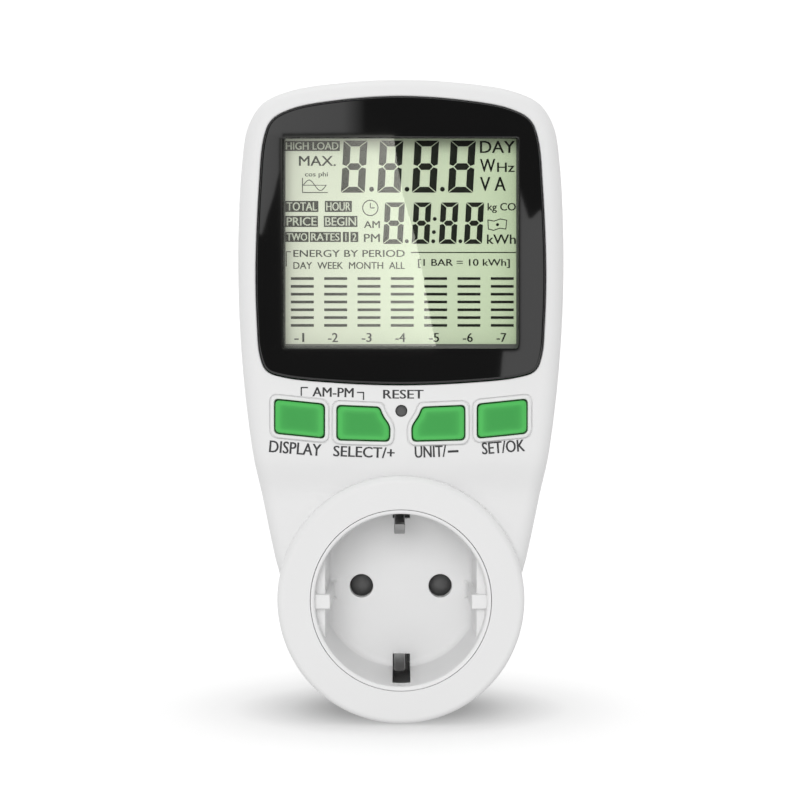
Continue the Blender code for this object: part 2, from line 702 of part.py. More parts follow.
def window_bezel(look):
    outline = window_outline()
    bm = bmesh.new()
    half_count = (len(outline) + 2) // 2
    half = outline[:half_count]
    rings = []
    for inset, y in ((0.45, BEZEL_Y[0]), (0.0, BEZEL_Y[0] + 0.45), (0.0, BEZEL_Y[1])):
        loop = mirrored(inset_path(half, inset))
        rings.append([bm.verts.new((x, y, z)) for x, z in loop])
    count = len(rings[0])
    for first, second in zip(rings, rings[1:]):
        for i in range(count):
            j = (i + 1) % count
            bm.faces.new((first[i], first[j], second[j], second[i]))
    bm.faces.new(rings[0])
    bm.faces.new(rings[-1])
    bezel = add_object("window_bezel", bm, look)
    x, low, high = LCD_OPENING
    cut(bezel, block("lcd_opening", (-x, x), (-58.0, -53.0), (low, high)))
    return bezel


def key(index, look):
    corners = key_corners(index)
    outline = round_corners(corners, KEY_ROUND)
    front = [tuple(p) for p in round_corners(grow_corners(corners, -KEY_EDGE), KEY_ROUND)]
    bm = bmesh.new()
    rings = [
        [bm.verts.new((x, KEY_Y, z)) for x, z in front],
        [bm.verts.new((x, KEY_Y + KEY_EDGE, z)) for x, z in outline],
        [bm.verts.new((x, KEY_SKIRT_Y, z)) for x, z in outline],
    ]
    count = len(outline)
    for first, second in zip(rings, rings[1:]):
        for i in range(count):
            j = (i + 1) % count
            bm.faces.new((first[i], first[j], second[j], second[i]))
    bm.faces.new(rings[0])
    bm.faces.new(rings[-1])
    piece = add_object(KEY_NAMES[index], bm, look)
    flange = round_corners(grow_corners(corners, KEY_FLANGE), KEY_ROUND)
    fuse(piece, prism(f"key_flange_{index}", flange, *KEY_FLANGE_Y))
    fuse(piece, cylinder(f"key_pusher_{index}", KEY_PUSHER_R, KEY_PUSHER_Y, key_centre(index), steps=12))
    return piece


def keypad_mat(look):
    mat = block("keypad_mat", (-28.4, 28.4), (-48.7, -48.0), (34.6, 46.2), look)
    for index in range(4):
        dome = [(0.0, -49.2), (1.8, -49.2), (2.9, -48.4), (2.9, -48.2), (0.0, -48.2)]
        fuse(mat, turned(f"dome_{index}", dome, at=key_centre(index), steps=12))
    x, z = RESET_AT
    cut(mat, block("switch_hole", (x - 2.7, x + 2.7), (-50.0, -47.0), (z - 2.7, z + 2.7)))
    return mat


def reset_button(look):
    profile = [(0.0, RESET_Y - 0.2), (0.8, RESET_Y - 0.2), (RESET_R, RESET_Y + 0.3), (RESET_R, -53.8),
               (2.3, -53.8), (2.3, -52.9), (1.2, -52.9), (1.2, -50.5), (0.0, -50.5)]
    return turned("reset_button", profile, look, RESET_AT, steps=16)


def reset_switch(look):
    x, z = RESET_AT
    body = block("reset_switch", (x - 2.25, x + 2.25), (-49.6, -48.0), (z - 2.25, z + 2.25), look)
    fuse(body, cylinder("switch_plunger", 0.9, (-49.9, -49.0), RESET_AT, steps=12))
    return body


def lcd_holder(look):
    x, low, high = HOLDER_SIZE
    holder = block("lcd_holder", (-x, x), HOLDER_Y, (low, high), look)
    glass_x, glass_low, glass_high = LCD_SIZE
    inner_x = glass_x + GAP
    cut(holder, block("glass_seat", (-inner_x, inner_x), (-56.0, -46.0), (glass_low - GAP, glass_high + GAP)))
    return holder


def display_board(look):
    half = [(25.8, 112.0), (25.8, 105.8), (32.4, 105.8), (32.4, 45.0), (28.6, 30.0)]
    board = prism("display_board", half + [(-x, z) for x, z in reversed(half)], *DISPLAY_BOARD_Y, look)
    for index, at in enumerate(DISPLAY_SCREWS):
        cut(board, cylinder(f"display_hole_{index}", SCREW_R + GAP, (-49.0, -45.0), at, steps=8))
    return board


def screw(name, at, head_y, direction, length, look):
    """A screw whose head starts at head_y and whose shank runs from there in the direction given."""
    head_end = head_y - direction * SCREW_HEAD_H
    tip = head_y + direction * length
    profile = [(0.0, head_end), (SCREW_HEAD_R, head_end), (SCREW_HEAD_R, head_y), (SCREW_R, head_y),
               (SCREW_R, tip), (0.0, tip)]
    return turned(name, profile, look, at, steps=8)


# ---------------------------------------------------------------- main board

def main_board(look):
    half = [(25.6, 112.0), (25.6, 104.5), (31.0, 104.5), (31.0, 46.0), (26.5, 28.0)]
    board = prism("main_board", half + [(-x, z) for x, z in reversed(half)], *MAIN_BOARD_Y, look)
    for index, at in enumerate(MAIN_SCREWS):
        cut(board, cylinder(f"main_hole_{index}", SCREW_R + GAP, (-37.0, -32.0), at, steps=8))
    return board


def board_parts(looks):
    """The components that stand on the main board's front face."""
    top = MAIN_BOARD_Y[0] - GAP
    block("suppression_capacitor", (-25.0, -7.0), (top - 10.0, top), (60.0, 75.0), looks["grey_box"])
    cylinder("storage_capacitor", 4.0, (top - 10.2, top), (5.0, 69.0), looks["sleeve"], 20)
    cylinder("backup_battery", 7.8, (top - 8.5, top), (-15.0, 92.0), looks["battery"], 28)
    block("metering_chip", (6.0, 16.5), (top - 1.9, top), (50.0, 56.5), looks["chip"])
    block("power_transistor", (18.0, 24.0), (top - 3.0, top), (80.0, 88.0), looks["chip"])
    block("board_link", (-10.0, 12.0), (DISPLAY_BOARD_Y[1] + GAP, top), (104.5, 107.2), looks["chip"])
    shunt = [
        (-17.0, 42.0), (-5.0, 42.0), (-5.0, 36.5), (-7.6, 36.5), (-7.6, 39.4), (-14.4, 39.4), (-14.4, 36.5),
        (-17.0, 36.5),
    ]
    prism("current_shunt", shunt, top - 1.2, top, looks["brass"])
    varistor = cylinder("varistor", 5.0, (0.0, 3.8), look=looks["varistor"], steps=20)
    varistor.rotation_euler = (0.0, 0.0, math.radians(90.0))
    varistor.location = (-17.0 * MM, (top - 5.2) * MM, 52.0 * MM)
    fuse_profile = [
        (0.0, 0.0), (2.6, 0.0), (2.6, 5.0), (2.3, 5.0), (2.3, 15.0), (2.6, 15.0), (2.6, 20.0), (0.0, 20.0),
    ]
    glass_fuse = turned("glass_fuse", fuse_profile, looks["glass"], steps=16)
    glass_fuse.rotation_euler = (math.radians(90.0), 0.0, 0.0)
    glass_fuse.location = (24.5 * MM, (top - 3.2) * MM, 50.0 * MM)


def wires(looks):
    """Insulated leads from the contacts and the line pin up to the main board."""
    board_y = MAIN_BOARD_Y[0] - 2.0
    wires = [("line_return_wire", -PIN_X, -15.7, "brown"), ("neutral_wire", PIN_X, 15.0, "blue")]
    for name, x, end_x, look in wires:
        route = [(x, -24.4, 24.6), (x, -24.4, 26.0), (x * 1.02, -25.0, 28.0), (x * 1.1, -28.0, 30.5),
                 (end_x, -31.5, 27.2), (end_x, -35.2, 25.8), (end_x, board_y, 28.5), (end_x, board_y, 35.0)]
        if name == "neutral_wire":
            route.append((end_x, board_y, 42.0))
        tube_curve(name, round_route(route), 1.1, looks[look])
    line_x = -PIN_X + 4.0
    profile_bar("line_terminal", [(-21.6, -3.0), (-20.8, -3.0), (-20.8, 14.6), (-21.6, 14.6)],
                -12.5, -6.5, looks["brass"])
    route = [(-7.6, -21.8, 15.0), (-7.6, -21.9, 19.0), (line_x, -23.4, 24.0), (line_x, -27.0, 28.5),
             (-5.8, -31.5, 26.5), (-6.2, -35.2, 25.6), (-6.3, board_y, 28.5), (-6.3, board_y, 35.0)]
    tube_curve("line_feed_wire", round_route(route), 1.1, looks["brown"])


def round_route(points):
    """A smooth run of points through a lead's route."""
    before = tuple(2.0 * Vector(points[0]) - Vector(points[1]))
    after = tuple(2.0 * Vector(points[-1]) - Vector(points[-2]))
    return smooth_path([before] + list(points) + [after], 2)


def build():
    clear_scene()
    looks = {
        "housing": material("housing_white", WHITE, 0.38),
        "socket": material("socket_white", WHITE, 0.42),
        "black": material("bezel_black", DARK, 0.08),
        "pane": material("clear_pane", (0.85, 0.9, 0.85), 0.03),
        "lcd": material("lcd_glass", (0.46, 0.55, 0.33), 0.25),
        "green": material("key_green", (0.07, 0.40, 0.10), 0.45),
        "dark": material("dark_plastic", (0.10, 0.10, 0.10), 0.5),
        "silicone": material("silicone", (0.55, 0.55, 0.52), 0.7),
        "board": material("board_green", BOARD_GREEN, 0.5),
        "steel": material("steel", STEEL, 0.35, 1.0),
        "nickel": material("nickel", (0.72, 0.70, 0.66), 0.25, 1.0),
        "brass": material("brass", BRASS, 0.35, 1.0),
        "carrier": material("carrier_grey", (0.35, 0.35, 0.36), 0.55),
        "grey_box": material("capacitor_box", (0.55, 0.50, 0.10), 0.5),
        "sleeve": material("sleeve", (0.02, 0.03, 0.08), 0.4),
        "battery": material("battery_wrap", (0.08, 0.30, 0.10), 0.4),
        "chip": material("chip_black", (0.02, 0.02, 0.02), 0.5),
        "varistor": material("varistor_blue", (0.05, 0.12, 0.45), 0.5),
        "glass": material("fuse_glass", (0.7, 0.75, 0.75), 0.1),
        "brown": material("wire_brown", (0.16, 0.06, 0.03), 0.5),
        "blue": material("wire_blue", (0.04, 0.12, 0.45), 0.5),
        "plate": material("plate_silver", (0.6, 0.6, 0.6), 0.4),
    }
    front_cover(looks["housing"])
    rear_cover(looks["housing"])
    socket_cup(looks["socket"])
    socket_earth_bracket(looks["nickel"])
    shutter(looks["dark"])
    shutter_spring(looks["steel"])
    contact_carrier(looks["carrier"])
    pin_contact("line_contact", -1.0, looks["brass"])
    pin_contact("neutral_contact", 1.0, looks["brass"])
    plug_pin("line_pin", -1.0, -20.3, looks["nickel"])
    plug_pin("neutral_pin", 1.0, -23.7, looks["nickel"])
    pin_retainer(looks["carrier"])
    plug_earth_bracket(looks["nickel"])
    earth_rivet(looks["brass"])
    window_bezel(looks["black"])
    x, low, high = LCD_SIZE
    block("window_pane", (-x, x), PANE_Y, (low + 0.6, high), looks["pane"])
    block("lcd_panel", (-x, x), LCD_Y, (low, high), looks["lcd"])
    for name, z in (("lower_zebra_strip", low + 0.4), ("upper_zebra_strip", high - 2.6)):
        ys = (LCD_Y[1] + GAP, DISPLAY_BOARD_Y[0] - GAP)
        block(name, (-24.0, 24.0), ys, (z, z + 2.2), looks["silicone"])
    lcd_holder(looks["carrier"])
    display_board(looks["board"])
    block("display_controller", (-6.0, 6.0), (DISPLAY_BOARD_Y[1] + GAP, -44.2), (78.0, 90.0), looks["chip"])
    for index in range(4):
        key(index, looks["green"])
    keypad_mat(looks["silicone"])
    reset_button(looks["dark"])
    reset_switch(looks["chip"])
    main_board(looks["board"])
    board_parts(looks)
    wires(looks)
    rear_face = DISPLAY_REAR_Y - 0.3
    plate_zs = PLATE_SIZE[1:]
    plate_xs = (-PLATE_SIZE[0], PLATE_SIZE[0])
    block("rating_plate", plate_xs, (rear_face, rear_face + 0.25), plate_zs, looks["plate"])
    for index, at in enumerate(COVER_SCREWS):
        screw(f"cover_screw_{index + 1}", at, COUNTERBORE_Y + GAP, -1.0, 11.5, looks["steel"])
    for index, at in enumerate(DISPLAY_SCREWS):
        screw(f"display_screw_{index + 1}", at, DISPLAY_BOARD_Y[1] + GAP, -1.0, 5.5, looks["steel"])
    for index, at in enumerate(MAIN_SCREWS):
        screw(f"main_screw_{index + 1}", at, MAIN_BOARD_Y[0] - GAP, 1.0, 3.8, looks["steel"])
    for index, sign in enumerate((1.0, -1.0)):
        at = (CARRIER_SCREW * sign, CARRIER_SCREW * sign)
        screw(f"carrier_screw_{index + 1}", at, -31.2 + GAP, -1.0, 6.5, looks["steel"])


build()
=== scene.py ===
"""Looks of the plug-in power meter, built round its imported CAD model.

Shapes are drawn in millimetres in the model's own frame and turned into metres when a piece is finished.
+X is to the right of someone facing the display, +Y runs from the display to the wall, +Z is up.
"""

import json
import math

import bmesh
import bpy
from mathutils import Matrix, Vector


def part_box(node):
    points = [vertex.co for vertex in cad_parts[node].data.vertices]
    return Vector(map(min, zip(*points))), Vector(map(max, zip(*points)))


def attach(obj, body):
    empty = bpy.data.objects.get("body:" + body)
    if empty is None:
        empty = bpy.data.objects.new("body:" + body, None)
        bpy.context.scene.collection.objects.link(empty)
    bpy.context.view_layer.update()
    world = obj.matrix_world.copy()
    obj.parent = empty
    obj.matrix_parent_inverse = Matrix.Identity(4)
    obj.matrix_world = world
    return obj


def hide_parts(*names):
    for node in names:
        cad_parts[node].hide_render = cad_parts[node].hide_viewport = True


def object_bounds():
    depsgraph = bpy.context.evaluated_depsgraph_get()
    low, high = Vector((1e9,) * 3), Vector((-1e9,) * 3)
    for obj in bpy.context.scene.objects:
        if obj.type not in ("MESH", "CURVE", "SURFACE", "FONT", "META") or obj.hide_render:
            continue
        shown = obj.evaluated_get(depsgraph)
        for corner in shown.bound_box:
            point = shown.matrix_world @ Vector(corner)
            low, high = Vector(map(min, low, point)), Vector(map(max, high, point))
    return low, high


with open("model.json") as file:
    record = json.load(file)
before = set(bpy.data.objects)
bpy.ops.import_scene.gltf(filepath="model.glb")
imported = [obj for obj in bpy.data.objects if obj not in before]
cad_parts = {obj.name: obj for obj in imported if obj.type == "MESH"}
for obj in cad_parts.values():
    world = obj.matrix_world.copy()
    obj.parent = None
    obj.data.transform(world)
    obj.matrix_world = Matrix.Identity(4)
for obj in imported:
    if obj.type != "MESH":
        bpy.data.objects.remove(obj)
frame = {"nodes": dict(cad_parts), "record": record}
CAD_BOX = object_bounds()
MM = 0.001


def node_box(node):
    """Lowest and highest corner of a CAD node, in millimetres."""
    low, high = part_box(node)
    return low / MM, high / MM


# Housing
GAP = 0.3
FRONT_LOW, FRONT_HIGH = node_box("front_cover")
REAR_LOW, REAR_HIGH = node_box("rear_cover")
HOUSING_TOP = FRONT_HIGH.z
SIDE_POINTS = [
    (14.0, 117.05), (25.5, 115.2), (31.6, 112.3), (34.9, 107.0), (36.3, 98.0), (37.0, 85.0), (37.1, 73.0),
    (36.6, 59.0), (35.4, 45.0), (33.5, 31.0), (31.0, 18.0), (29.1, 9.0),
]
SOCKET_END_R = 27.8
SOCKET_END_START = 6.0
WALL = 2.2
FACE_Y = -56.4
LOW_FACE_Y = -54.0
FACE_SLOPE = (22.0, 33.0)
FRONT_ROUND = 3.5
REAR_ROUND = 3.0
SPLIT_Y = -42.0
SEAM_ROUND = 0.3
LIP_INSET = 1.3
LIP_LENGTH = 2.0
DISPLAY_REAR_Y = REAR_LOW.y + 14.0
SOCKET_REAR_Y = -18.0
REAR_SLOPE = (30.0, 42.0)

# Collar, socket, shutter and plug
COLLAR_Y = FRONT_LOW.y
COLLAR_R = 27.8
COLLAR_ROUND = (1.5, 1.5)
CUP_R = 20.2
CUP_JOINT = 0.1
CUP_MOUTH_R = 19.3
CUP_CHAMFER = 0.5
CUP_FLAT_X = 17.1
CUP_FLAT_Y = -55.0
RIB_X = 15.9
RIB_HALF = 1.6
RIB_Z = -0.6
RIB_Y = -56.6
CUP_FLOOR_Y = -40.5
CUP_FLOOR_T = 2.0
FLOOR_FILLET = 1.4
EDGE_ROUND = 0.3
PIN_X = 9.5
PIN_HOLE_R = 2.8
EARTH_SLOT = (-1.95, 2.2)
EARTH_SLOT_Y = -54.8
EARTH_CLIP = (-1.55, 0.95)
EARTH_CLIP_T = 0.7
EARTH_CLIP_PATH = [(-35.1, 11.0), (-35.1, 16.9), (-36.3, 18.3), (-41.0, 18.4), (-46.5, 15.8), (-49.5, 14.3),
                   (-52.0, 14.7), (-54.0, 17.2)]
SHUTTER_Y = (-38.2, -36.9, -35.6)
SHUTTER_EDGE = [(0.3, -38.2), (0.1, -38.12), (0.0, -37.9), (0.0, SHUTTER_Y[2])]
BLADE_R = 13.0
HUB_R = 4.8
DOME_R = 2.75
DOME_DROP = 0.85
RIVET_HOLE = (1.8, (0.0, 8.0))
PLUG_R = 18.4
PLUG_CORE_R = 14.9
PLUG_END_T = 3.0
PLUG_GROOVE = (15.4, 2.4)
PLUG_NOTCH = (2.9, 16.3)
PLUG_PIN_R = 2.4

# Display window, keys and screws
WINDOW_POINTS = [
    (0.0, 112.9), (15.5, 111.8), (24.6, 110.0), (28.9, 107.6), (30.6, 103.6), (31.7, 92.0), (32.4, 74.0),
    (32.1, 62.0), (31.5, 55.0), (30.1, 51.6), (26.5, 50.2), (15.6, 49.0), (0.0, 48.4),
]
LCD_OPENING = (26.4, 56.4, 103.7)
BEZEL_LIP = 0.3
PANE_FACE = 0.32
PANE_T = 0.5
PANE_OVERLAP = 0.7
FILM_X = 26.4
FILM_Z = (57.6, 104.6)
FILM_T = 0.15
KEY_OUTER = [(-28.2, 44.8), (-17.35, 43.7), (-17.35, 36.4), (-28.2, 37.5)]
KEY_INNER = [(-14.2, 43.4), (-4.9, 43.0), (-4.3, 41.3), (-2.6, 38.8), (-2.75, 35.7), (-14.2, 36.0)]
KEY_ROUND = 1.1
KEY_GROOVE = 0.25
KEY_GROOVE_DEPTH = 0.35
KEY_NAMES = ["mode_key", "up_key", "down_key", "set_key"]
KEY_RIM = 1.15
KEY_RIM_HEIGHT = 0.35
RESET_AT = (0.1, 42.35)
RESET_R = 1.22
RESET_GAP = 0.12
FLANGE_Y = (-53.8, -52.9)
STRIKE_RISE = 0.002
COVER_SCREWS = [(29.2, 109.6), (-29.2, 109.6), (17.4, -17.4), (-17.4, -17.4)]
SCREW_R = 1.0
SCREW_HEAD_R = 1.9
POST_R = 2.4
POST_HOLE_Y = -51.0
COLUMN_R = 2.9
COUNTERBORE_Y = -38.5
PLATE_SIZE = (22.0, 56.0, 96.0)

# Smoothness of the drawn outlines
SIDE_STEPS = 8
END_STEPS = 44
TURN_STEPS = 160
ARC_STEPS = 8
SMALL_STEPS = 40


# ---------------------------------------------------------------- mesh helpers

def to_object(name, bm):
    bmesh.ops.recalc_face_normals(bm, faces=bm.faces)
    mesh = bpy.data.meshes.new(name)
    bm.to_mesh(mesh)
    bm.free()
    item = bpy.data.objects.new(name, mesh)
    bpy.context.scene.collection.objects.link(item)
    return item


def circle(radius, steps, at=(0.0, 0.0), start=0.0):
    """Points (x, z) round a circle; start is the first one's place, counted in steps."""
    angles = [2.0 * math.pi * (k + start) / steps for k in range(steps)]
    return [(at[0] + radius * math.cos(a), at[1] + radius * math.sin(a)) for a in angles]


def join_rings(bm, rings, closed=False):
    """Faces between each closed ring of vertices and the next one."""
    for first, second in zip(rings, rings[1:] + rings[:1] if closed else rings[1:]):
        for i in range(len(first)):
            j = (i + 1) % len(first)
            bm.faces.new((first[i], first[j], second[j], second[i]))


def skin(bm, rings):
    """Closed solid through rings of points with equal counts."""
    made = [[bm.verts.new(point) for point in ring] for ring in rings]
    join_rings(bm, made)
    bm.faces.new(made[0])
    bm.faces.new(made[-1])
    return made


def loft(name, shape, levels):
    """Solid whose (x, z) outline is shape(inset) at each (inset, y) level."""
    bm = bmesh.new()
    skin(bm, [[(x, y, z) for x, z in shape(inset)] for inset, y in levels])
    return to_object(name, bm)


def prism(name, outline, y_front, y_back):
    return loft(name, lambda inset: outline, [(0.0, y_front), (0.0, y_back)])


def span(sign, near, far):
    """A range on one side of the centre, lowest value first."""
    return sorted((near * sign, far * sign))


def block(name, xs, ys, zs):
    outline = [(xs[0], zs[0]), (xs[1], zs[0]), (xs[1], zs[1]), (xs[0], zs[1])]
    return prism(name, outline, ys[0], ys[1])


def turned(name, profile, at=(0.0, 0.0), steps=SMALL_STEPS):
    """Turn a profile of (radius, y) points about a line along Y; one that starts at radius 0 is a solid."""
    solid = profile[0][0] == 0.0
    rings = []
    for radius, y in profile[1:-1] if solid else profile:
        rings.append([(x, y, z) for x, z in circle(radius, steps, at, 0.5)])
    bm = bmesh.new()
    if solid:
        skin(bm, rings)
    else:
        join_rings(bm, [[bm.verts.new(point) for point in ring] for ring in rings], closed=True)
    return to_object(name, bm)


def cylinder(name, radius, ys, at=(0.0, 0.0), steps=SMALL_STEPS):
    return turned(name, [(0.0, ys[0]), (radius, ys[0]), (radius, ys[1]), (0.0, ys[1])], at, steps)


def heading(points, i):
    """Direction of a path at point i, from the points beside it."""
    return (Vector(points[min(i + 1, len(points) - 1)]) - Vector(points[max(i - 1, 0)])).normalized()


def sweep(name, path, section):
    """Carry a closed (across, out) section along (y, z) points; across is X, out is the path's normal."""
    bm = bmesh.new()
    rings = []
    last = len(path) - 1
    for i, point in enumerate(path):
        along = heading(path, i)
        out = Vector((-along.y, along.x))
        places = [(x, Vector(point) + out * height + along * shift) for x, height, shift in section(i / last)]
        rings.append([(x, place.x, place.y) for x, place in places])
    skin(bm, rings)
    return to_object(name, bm)


def replace_mesh(item):
    """Turn an object's modifiers into its own mesh."""
    graph = bpy.context.evaluated_depsgraph_get()
    mesh = bpy.data.meshes.new_from_object(item.evaluated_get(graph))
    item.modifiers.clear()
    item.data = mesh


def combine(target, others, operation):
    for other in others:
        step = target.modifiers.new(other.name, "BOOLEAN")
        step.operation = operation
        step.solver = "EXACT"
        step.object = other
    replace_mesh(target)
    for other in others:
        bpy.data.objects.remove(other, do_unlink=True)


def cut(target, *cutters):
    combine(target, cutters, "DIFFERENCE")


def fuse(target, *pieces):
    combine(target, pieces, "UNION")


def finish_piece(item, name, slot, nodes=(), look=None, body="housing", sharp=32.0):
    """Name a drawn piece, scale it to metres, shade it and tie it to the frame."""
    item.name = name
    item.data.transform(Matrix.Scale(MM, 4))
    item.data.shade_smooth()
    item.data.set_sharp_from_angle(angle=math.radians(sharp))
    step = item.modifiers.new("normals", "WEIGHTED_NORMAL")
    step.keep_sharp = True
    replace_mesh(item)
    item.data.materials.clear()
    item.data.materials.append(LOOKS[look or slot])
    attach(item, body)
    if nodes:
        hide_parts(*nodes)
    return item


# ---------------------------------------------------------------- outlines

def mirrored(points):
    """Close a right-hand outline that runs from the top to the bottom with its left-hand half."""
    return list(points) + [(-x, z) for x, z in reversed(points) if x > 1e-6]


def arc(radius, start, step, count):
    """Points along an arc about the centre; start and step are in degrees."""
    angles = [math.radians(start + step * k) for k in range(count)]
    return [(radius * math.cos(a), radius * math.sin(a)) for a in angles]


def smooth_path(points, steps):
    """Points along a centripetal spline from the second point to the one before last."""
    path = []
    for a, b, c, d in zip(points, points[1:], points[2:], points[3:]):
        a, b, c, d = Vector(a), Vector(b), Vector(c), Vector(d)
        t1 = math.sqrt((b - a).length)
        t2 = t1 + math.sqrt((c - b).length)
        t3 = t2 + math.sqrt((d - c).length)
        for k in range(steps):
            t = t1 + (t2 - t1) * k / steps
            p = a * (t1 - t) / t1 + b * t / t1
            q = b * (t2 - t) / (t2 - t1) + c * (t - t1) / (t2 - t1)
            r = c * (t3 - t) / (t3 - t2) + d * (t - t2) / (t3 - t2)
            u = p * (t2 - t) / t2 + q * t / t2
            v = q * (t3 - t) / (t3 - t1) + r * (t - t1) / (t3 - t1)
            path.append(tuple(u * (t2 - t) / (t2 - t1) + v * (t - t1) / (t2 - t1)))
    path.append(tuple(points[-2]))
    return path


def inset_path(points, distance):
    """Move a right-hand outline inwards, keeping its two ends on the centre line."""
    moved = []
    last = len(points) - 1
    for i, point in enumerate(points):
        along = heading(points, i)
        if i in (0, last):
            along = Vector((1.0, 0.0)) if i == 0 else Vector((-1.0, 0.0))
        moved.append(tuple(Vector(point) + Vector((along.y, -along.x)) * distance))
    moved[0] = (0.0, moved[0][1])
    moved[last] = (0.0, moved[last][1])
    return moved


def grow_corners(corners, distance):
    """Offset a convex or nearly convex polygon outwards, corner by corner."""
    centre = Vector((sum(x for x, z in corners), sum(z for x, z in corners))) / len(corners)
    grown = []
    for i in range(len(corners)):
        before, here, after = (Vector(corners[(i + k) % len(corners)]) for k in (-1, 0, 1))
        normals = []
        for start, end in ((before, here), (here, after)):
            edge = (end - start).normalized()
            normal = Vector((edge.y, -edge.x))
            if normal.dot((start + end) / 2.0 - centre) < 0.0:
                normal = -normal
            normals.append(normal)
        bisector = (normals[0] + normals[1]).normalized()
        grown.append(tuple(here + bisector * distance / max(bisector.dot(normals[0]), 0.4)))
    return grown


def round_corners(corners, radius, steps=ARC_STEPS):
    """Replace each corner of a polygon by a short curve."""
    outline = []
    count = len(corners)
    for i in range(count):
        before, here, after = (Vector(corners[(i + k) % count]) for k in (-1, 0, 1))
        reach = min(radius, (before - here).length * 0.45, (after - here).length * 0.45)
        start = here + (before - here).normalized() * reach
        end = here + (after - here).normalized() * reach
        for k in range(steps + 1):
            t = k / steps
            outline.append(tuple(start * (1 - t) ** 2 + here * 2 * t * (1 - t) + end * t ** 2))
    return outline


def rectangle(x, low, high, radius=0.6):
    """Maker of a rounded rectangle about the centre line, for loft()."""
    def shape(inset):
        corners = [(x - inset, low + inset), (x - inset, high - inset), (inset - x, high - inset),
                   (inset - x, low + inset)]
        return round_corners(corners, radius, 4)
    return shape


def smooth_step(value, low, high):
    t = min(max((value - low) / (high - low), 0.0), 1.0)
    return t * t * (3.0 - 2.0 * t)


def quarter(steps=ARC_STEPS):
    """(1 - sin, 1 - cos) of angles from 0 to a right angle."""
    angles = [math.pi / 2.0 * k / steps for k in range(steps + 1)]
    return [(1.0 - math.sin(a), 1.0 - math.cos(a)) for a in angles]


def rounding(start, y, across, deep, steps=ARC_STEPS):
    """(start + across, y) to (start, y + deep) along a quarter of an ellipse."""
    return [(start + across * s, y + deep * c) for s, c in quarter(steps)]


def cutter_edge(start, y, edge, steps, lead=1.0, clear=0.0):
    """Levels of a cutter that opens a hole with a rounded edge in a face at y."""
    wide = start - edge - clear
    return [(wide, y - lead), (wide, y - 0.01)] + rounding(start, y, -edge, edge, steps)


# ---------------------------------------------------------------- housing

def housing_side():
    """Right-hand outline of the housing, from the top centre to the bottom centre."""
    first_angle = math.radians(SOCKET_END_START)
    end_arc = []
    for k in range(END_STEPS + 1):
        angle = first_angle - (first_angle + math.pi / 2.0) * k / END_STEPS
        end_arc.append((SOCKET_END_R * math.cos(angle), SOCKET_END_R * math.sin(angle)))
    end_arc[-1] = (0.0, -SOCKET_END_R)
    first = SIDE_POINTS[0]
    lead_out = (end_arc[4][0], end_arc[4][1])
    guide = [(-first[0], first[1]), (0.0, HOUSING_TOP)] + SIDE_POINTS + [end_arc[0], lead_out]
    return smooth_path(guide, SIDE_STEPS) + end_arc[1:]


def face_y(z):
    return LOW_FACE_Y + (FACE_Y - LOW_FACE_Y) * smooth_step(z, *FACE_SLOPE)


def rear_y(z):
    return SOCKET_REAR_Y + (DISPLAY_REAR_Y - SOCKET_REAR_Y) * smooth_step(z, *REAR_SLOPE)


def shell(name, levels):
    """Skin rings of the housing's outline; each level is (inset, y or function giving y from z, offset)."""
    side = housing_side()
    bm = bmesh.new()
    rings = []
    for inset, base, offset in levels:
        loop = mirrored(inset_path(side, inset))
        rings.append([bm.verts.new((x, (base(z) if callable(base) else base) + offset, z)) for x, z in loop])
    join_rings(bm, rings)
    bottom = len(side) - 1
    for ring in (rings[0], rings[-1]):
        bm.faces.new((ring[0], ring[1], ring[-1]))
        for i in range(1, bottom - 1):
            bm.faces.new((ring[i], ring[i + 1], ring[-i - 1], ring[-i]))
        bm.faces.new((ring[bottom - 1], ring[bottom], ring[bottom + 1]))
    return to_object(name, bm)


def cover_levels(base, radius, direction, rim):
    """Levels from the flat face over its rounded edge to the seam, and back inside along the wall."""
    levels = [(radius + 0.8, base, 0.0)]
    levels += [(radius * s, base, direction * radius * c) for s, c in quarter()]
    seam = direction * SEAM_ROUND
    return levels + [(0.0, rim, -seam), (SEAM_ROUND * 0.3, rim, -seam * 0.3), (SEAM_ROUND, rim, 0.0)]


def window_outline(grow=0.0):
    guide = [(-WINDOW_POINTS[1][0], WINDOW_POINTS[1][1])] + WINDOW_POINTS
    guide.append((-WINDOW_POINTS[-2][0], WINDOW_POINTS[-2][1]))
    return mirrored(inset_path(smooth_path(guide, 6), -grow))


def key_corners(index):
    corners = KEY_OUTER if index in (0, 3) else KEY_INNER
    return corners if index < 2 else [(-x, z) for x, z in reversed(corners)]


def key_shape(index, extra_round=0.0):
    """Maker of a key's outline for loft()."""
    def shape(inset):
        return round_corners(grow_corners(key_corners(index), -inset), KEY_ROUND + extra_round)
    return shape


def collar():
    """Raised ring round the socket, with a soft outer edge."""
    across, deep = COLLAR_ROUND
    inner = CUP_R + CUP_JOINT
    profile = [(inner, COLLAR_Y + 0.12), (inner + 0.04, COLLAR_Y + 0.04), (inner + 0.12, COLLAR_Y)]
    profile += [(COLLAR_R - across - 0.5, COLLAR_Y)] + rounding(COLLAR_R, COLLAR_Y, -across, deep, 14)
    profile += [(COLLAR_R, -49.5), (COLLAR_R - WALL, -49.5), (COLLAR_R - WALL, COLLAR_Y + WALL),
                (inner + 1.65, COLLAR_Y + WALL), (inner + 1.65, -46.0), (inner, -46.0)]
    return turned("collar_ring", profile, steps=TURN_STEPS)


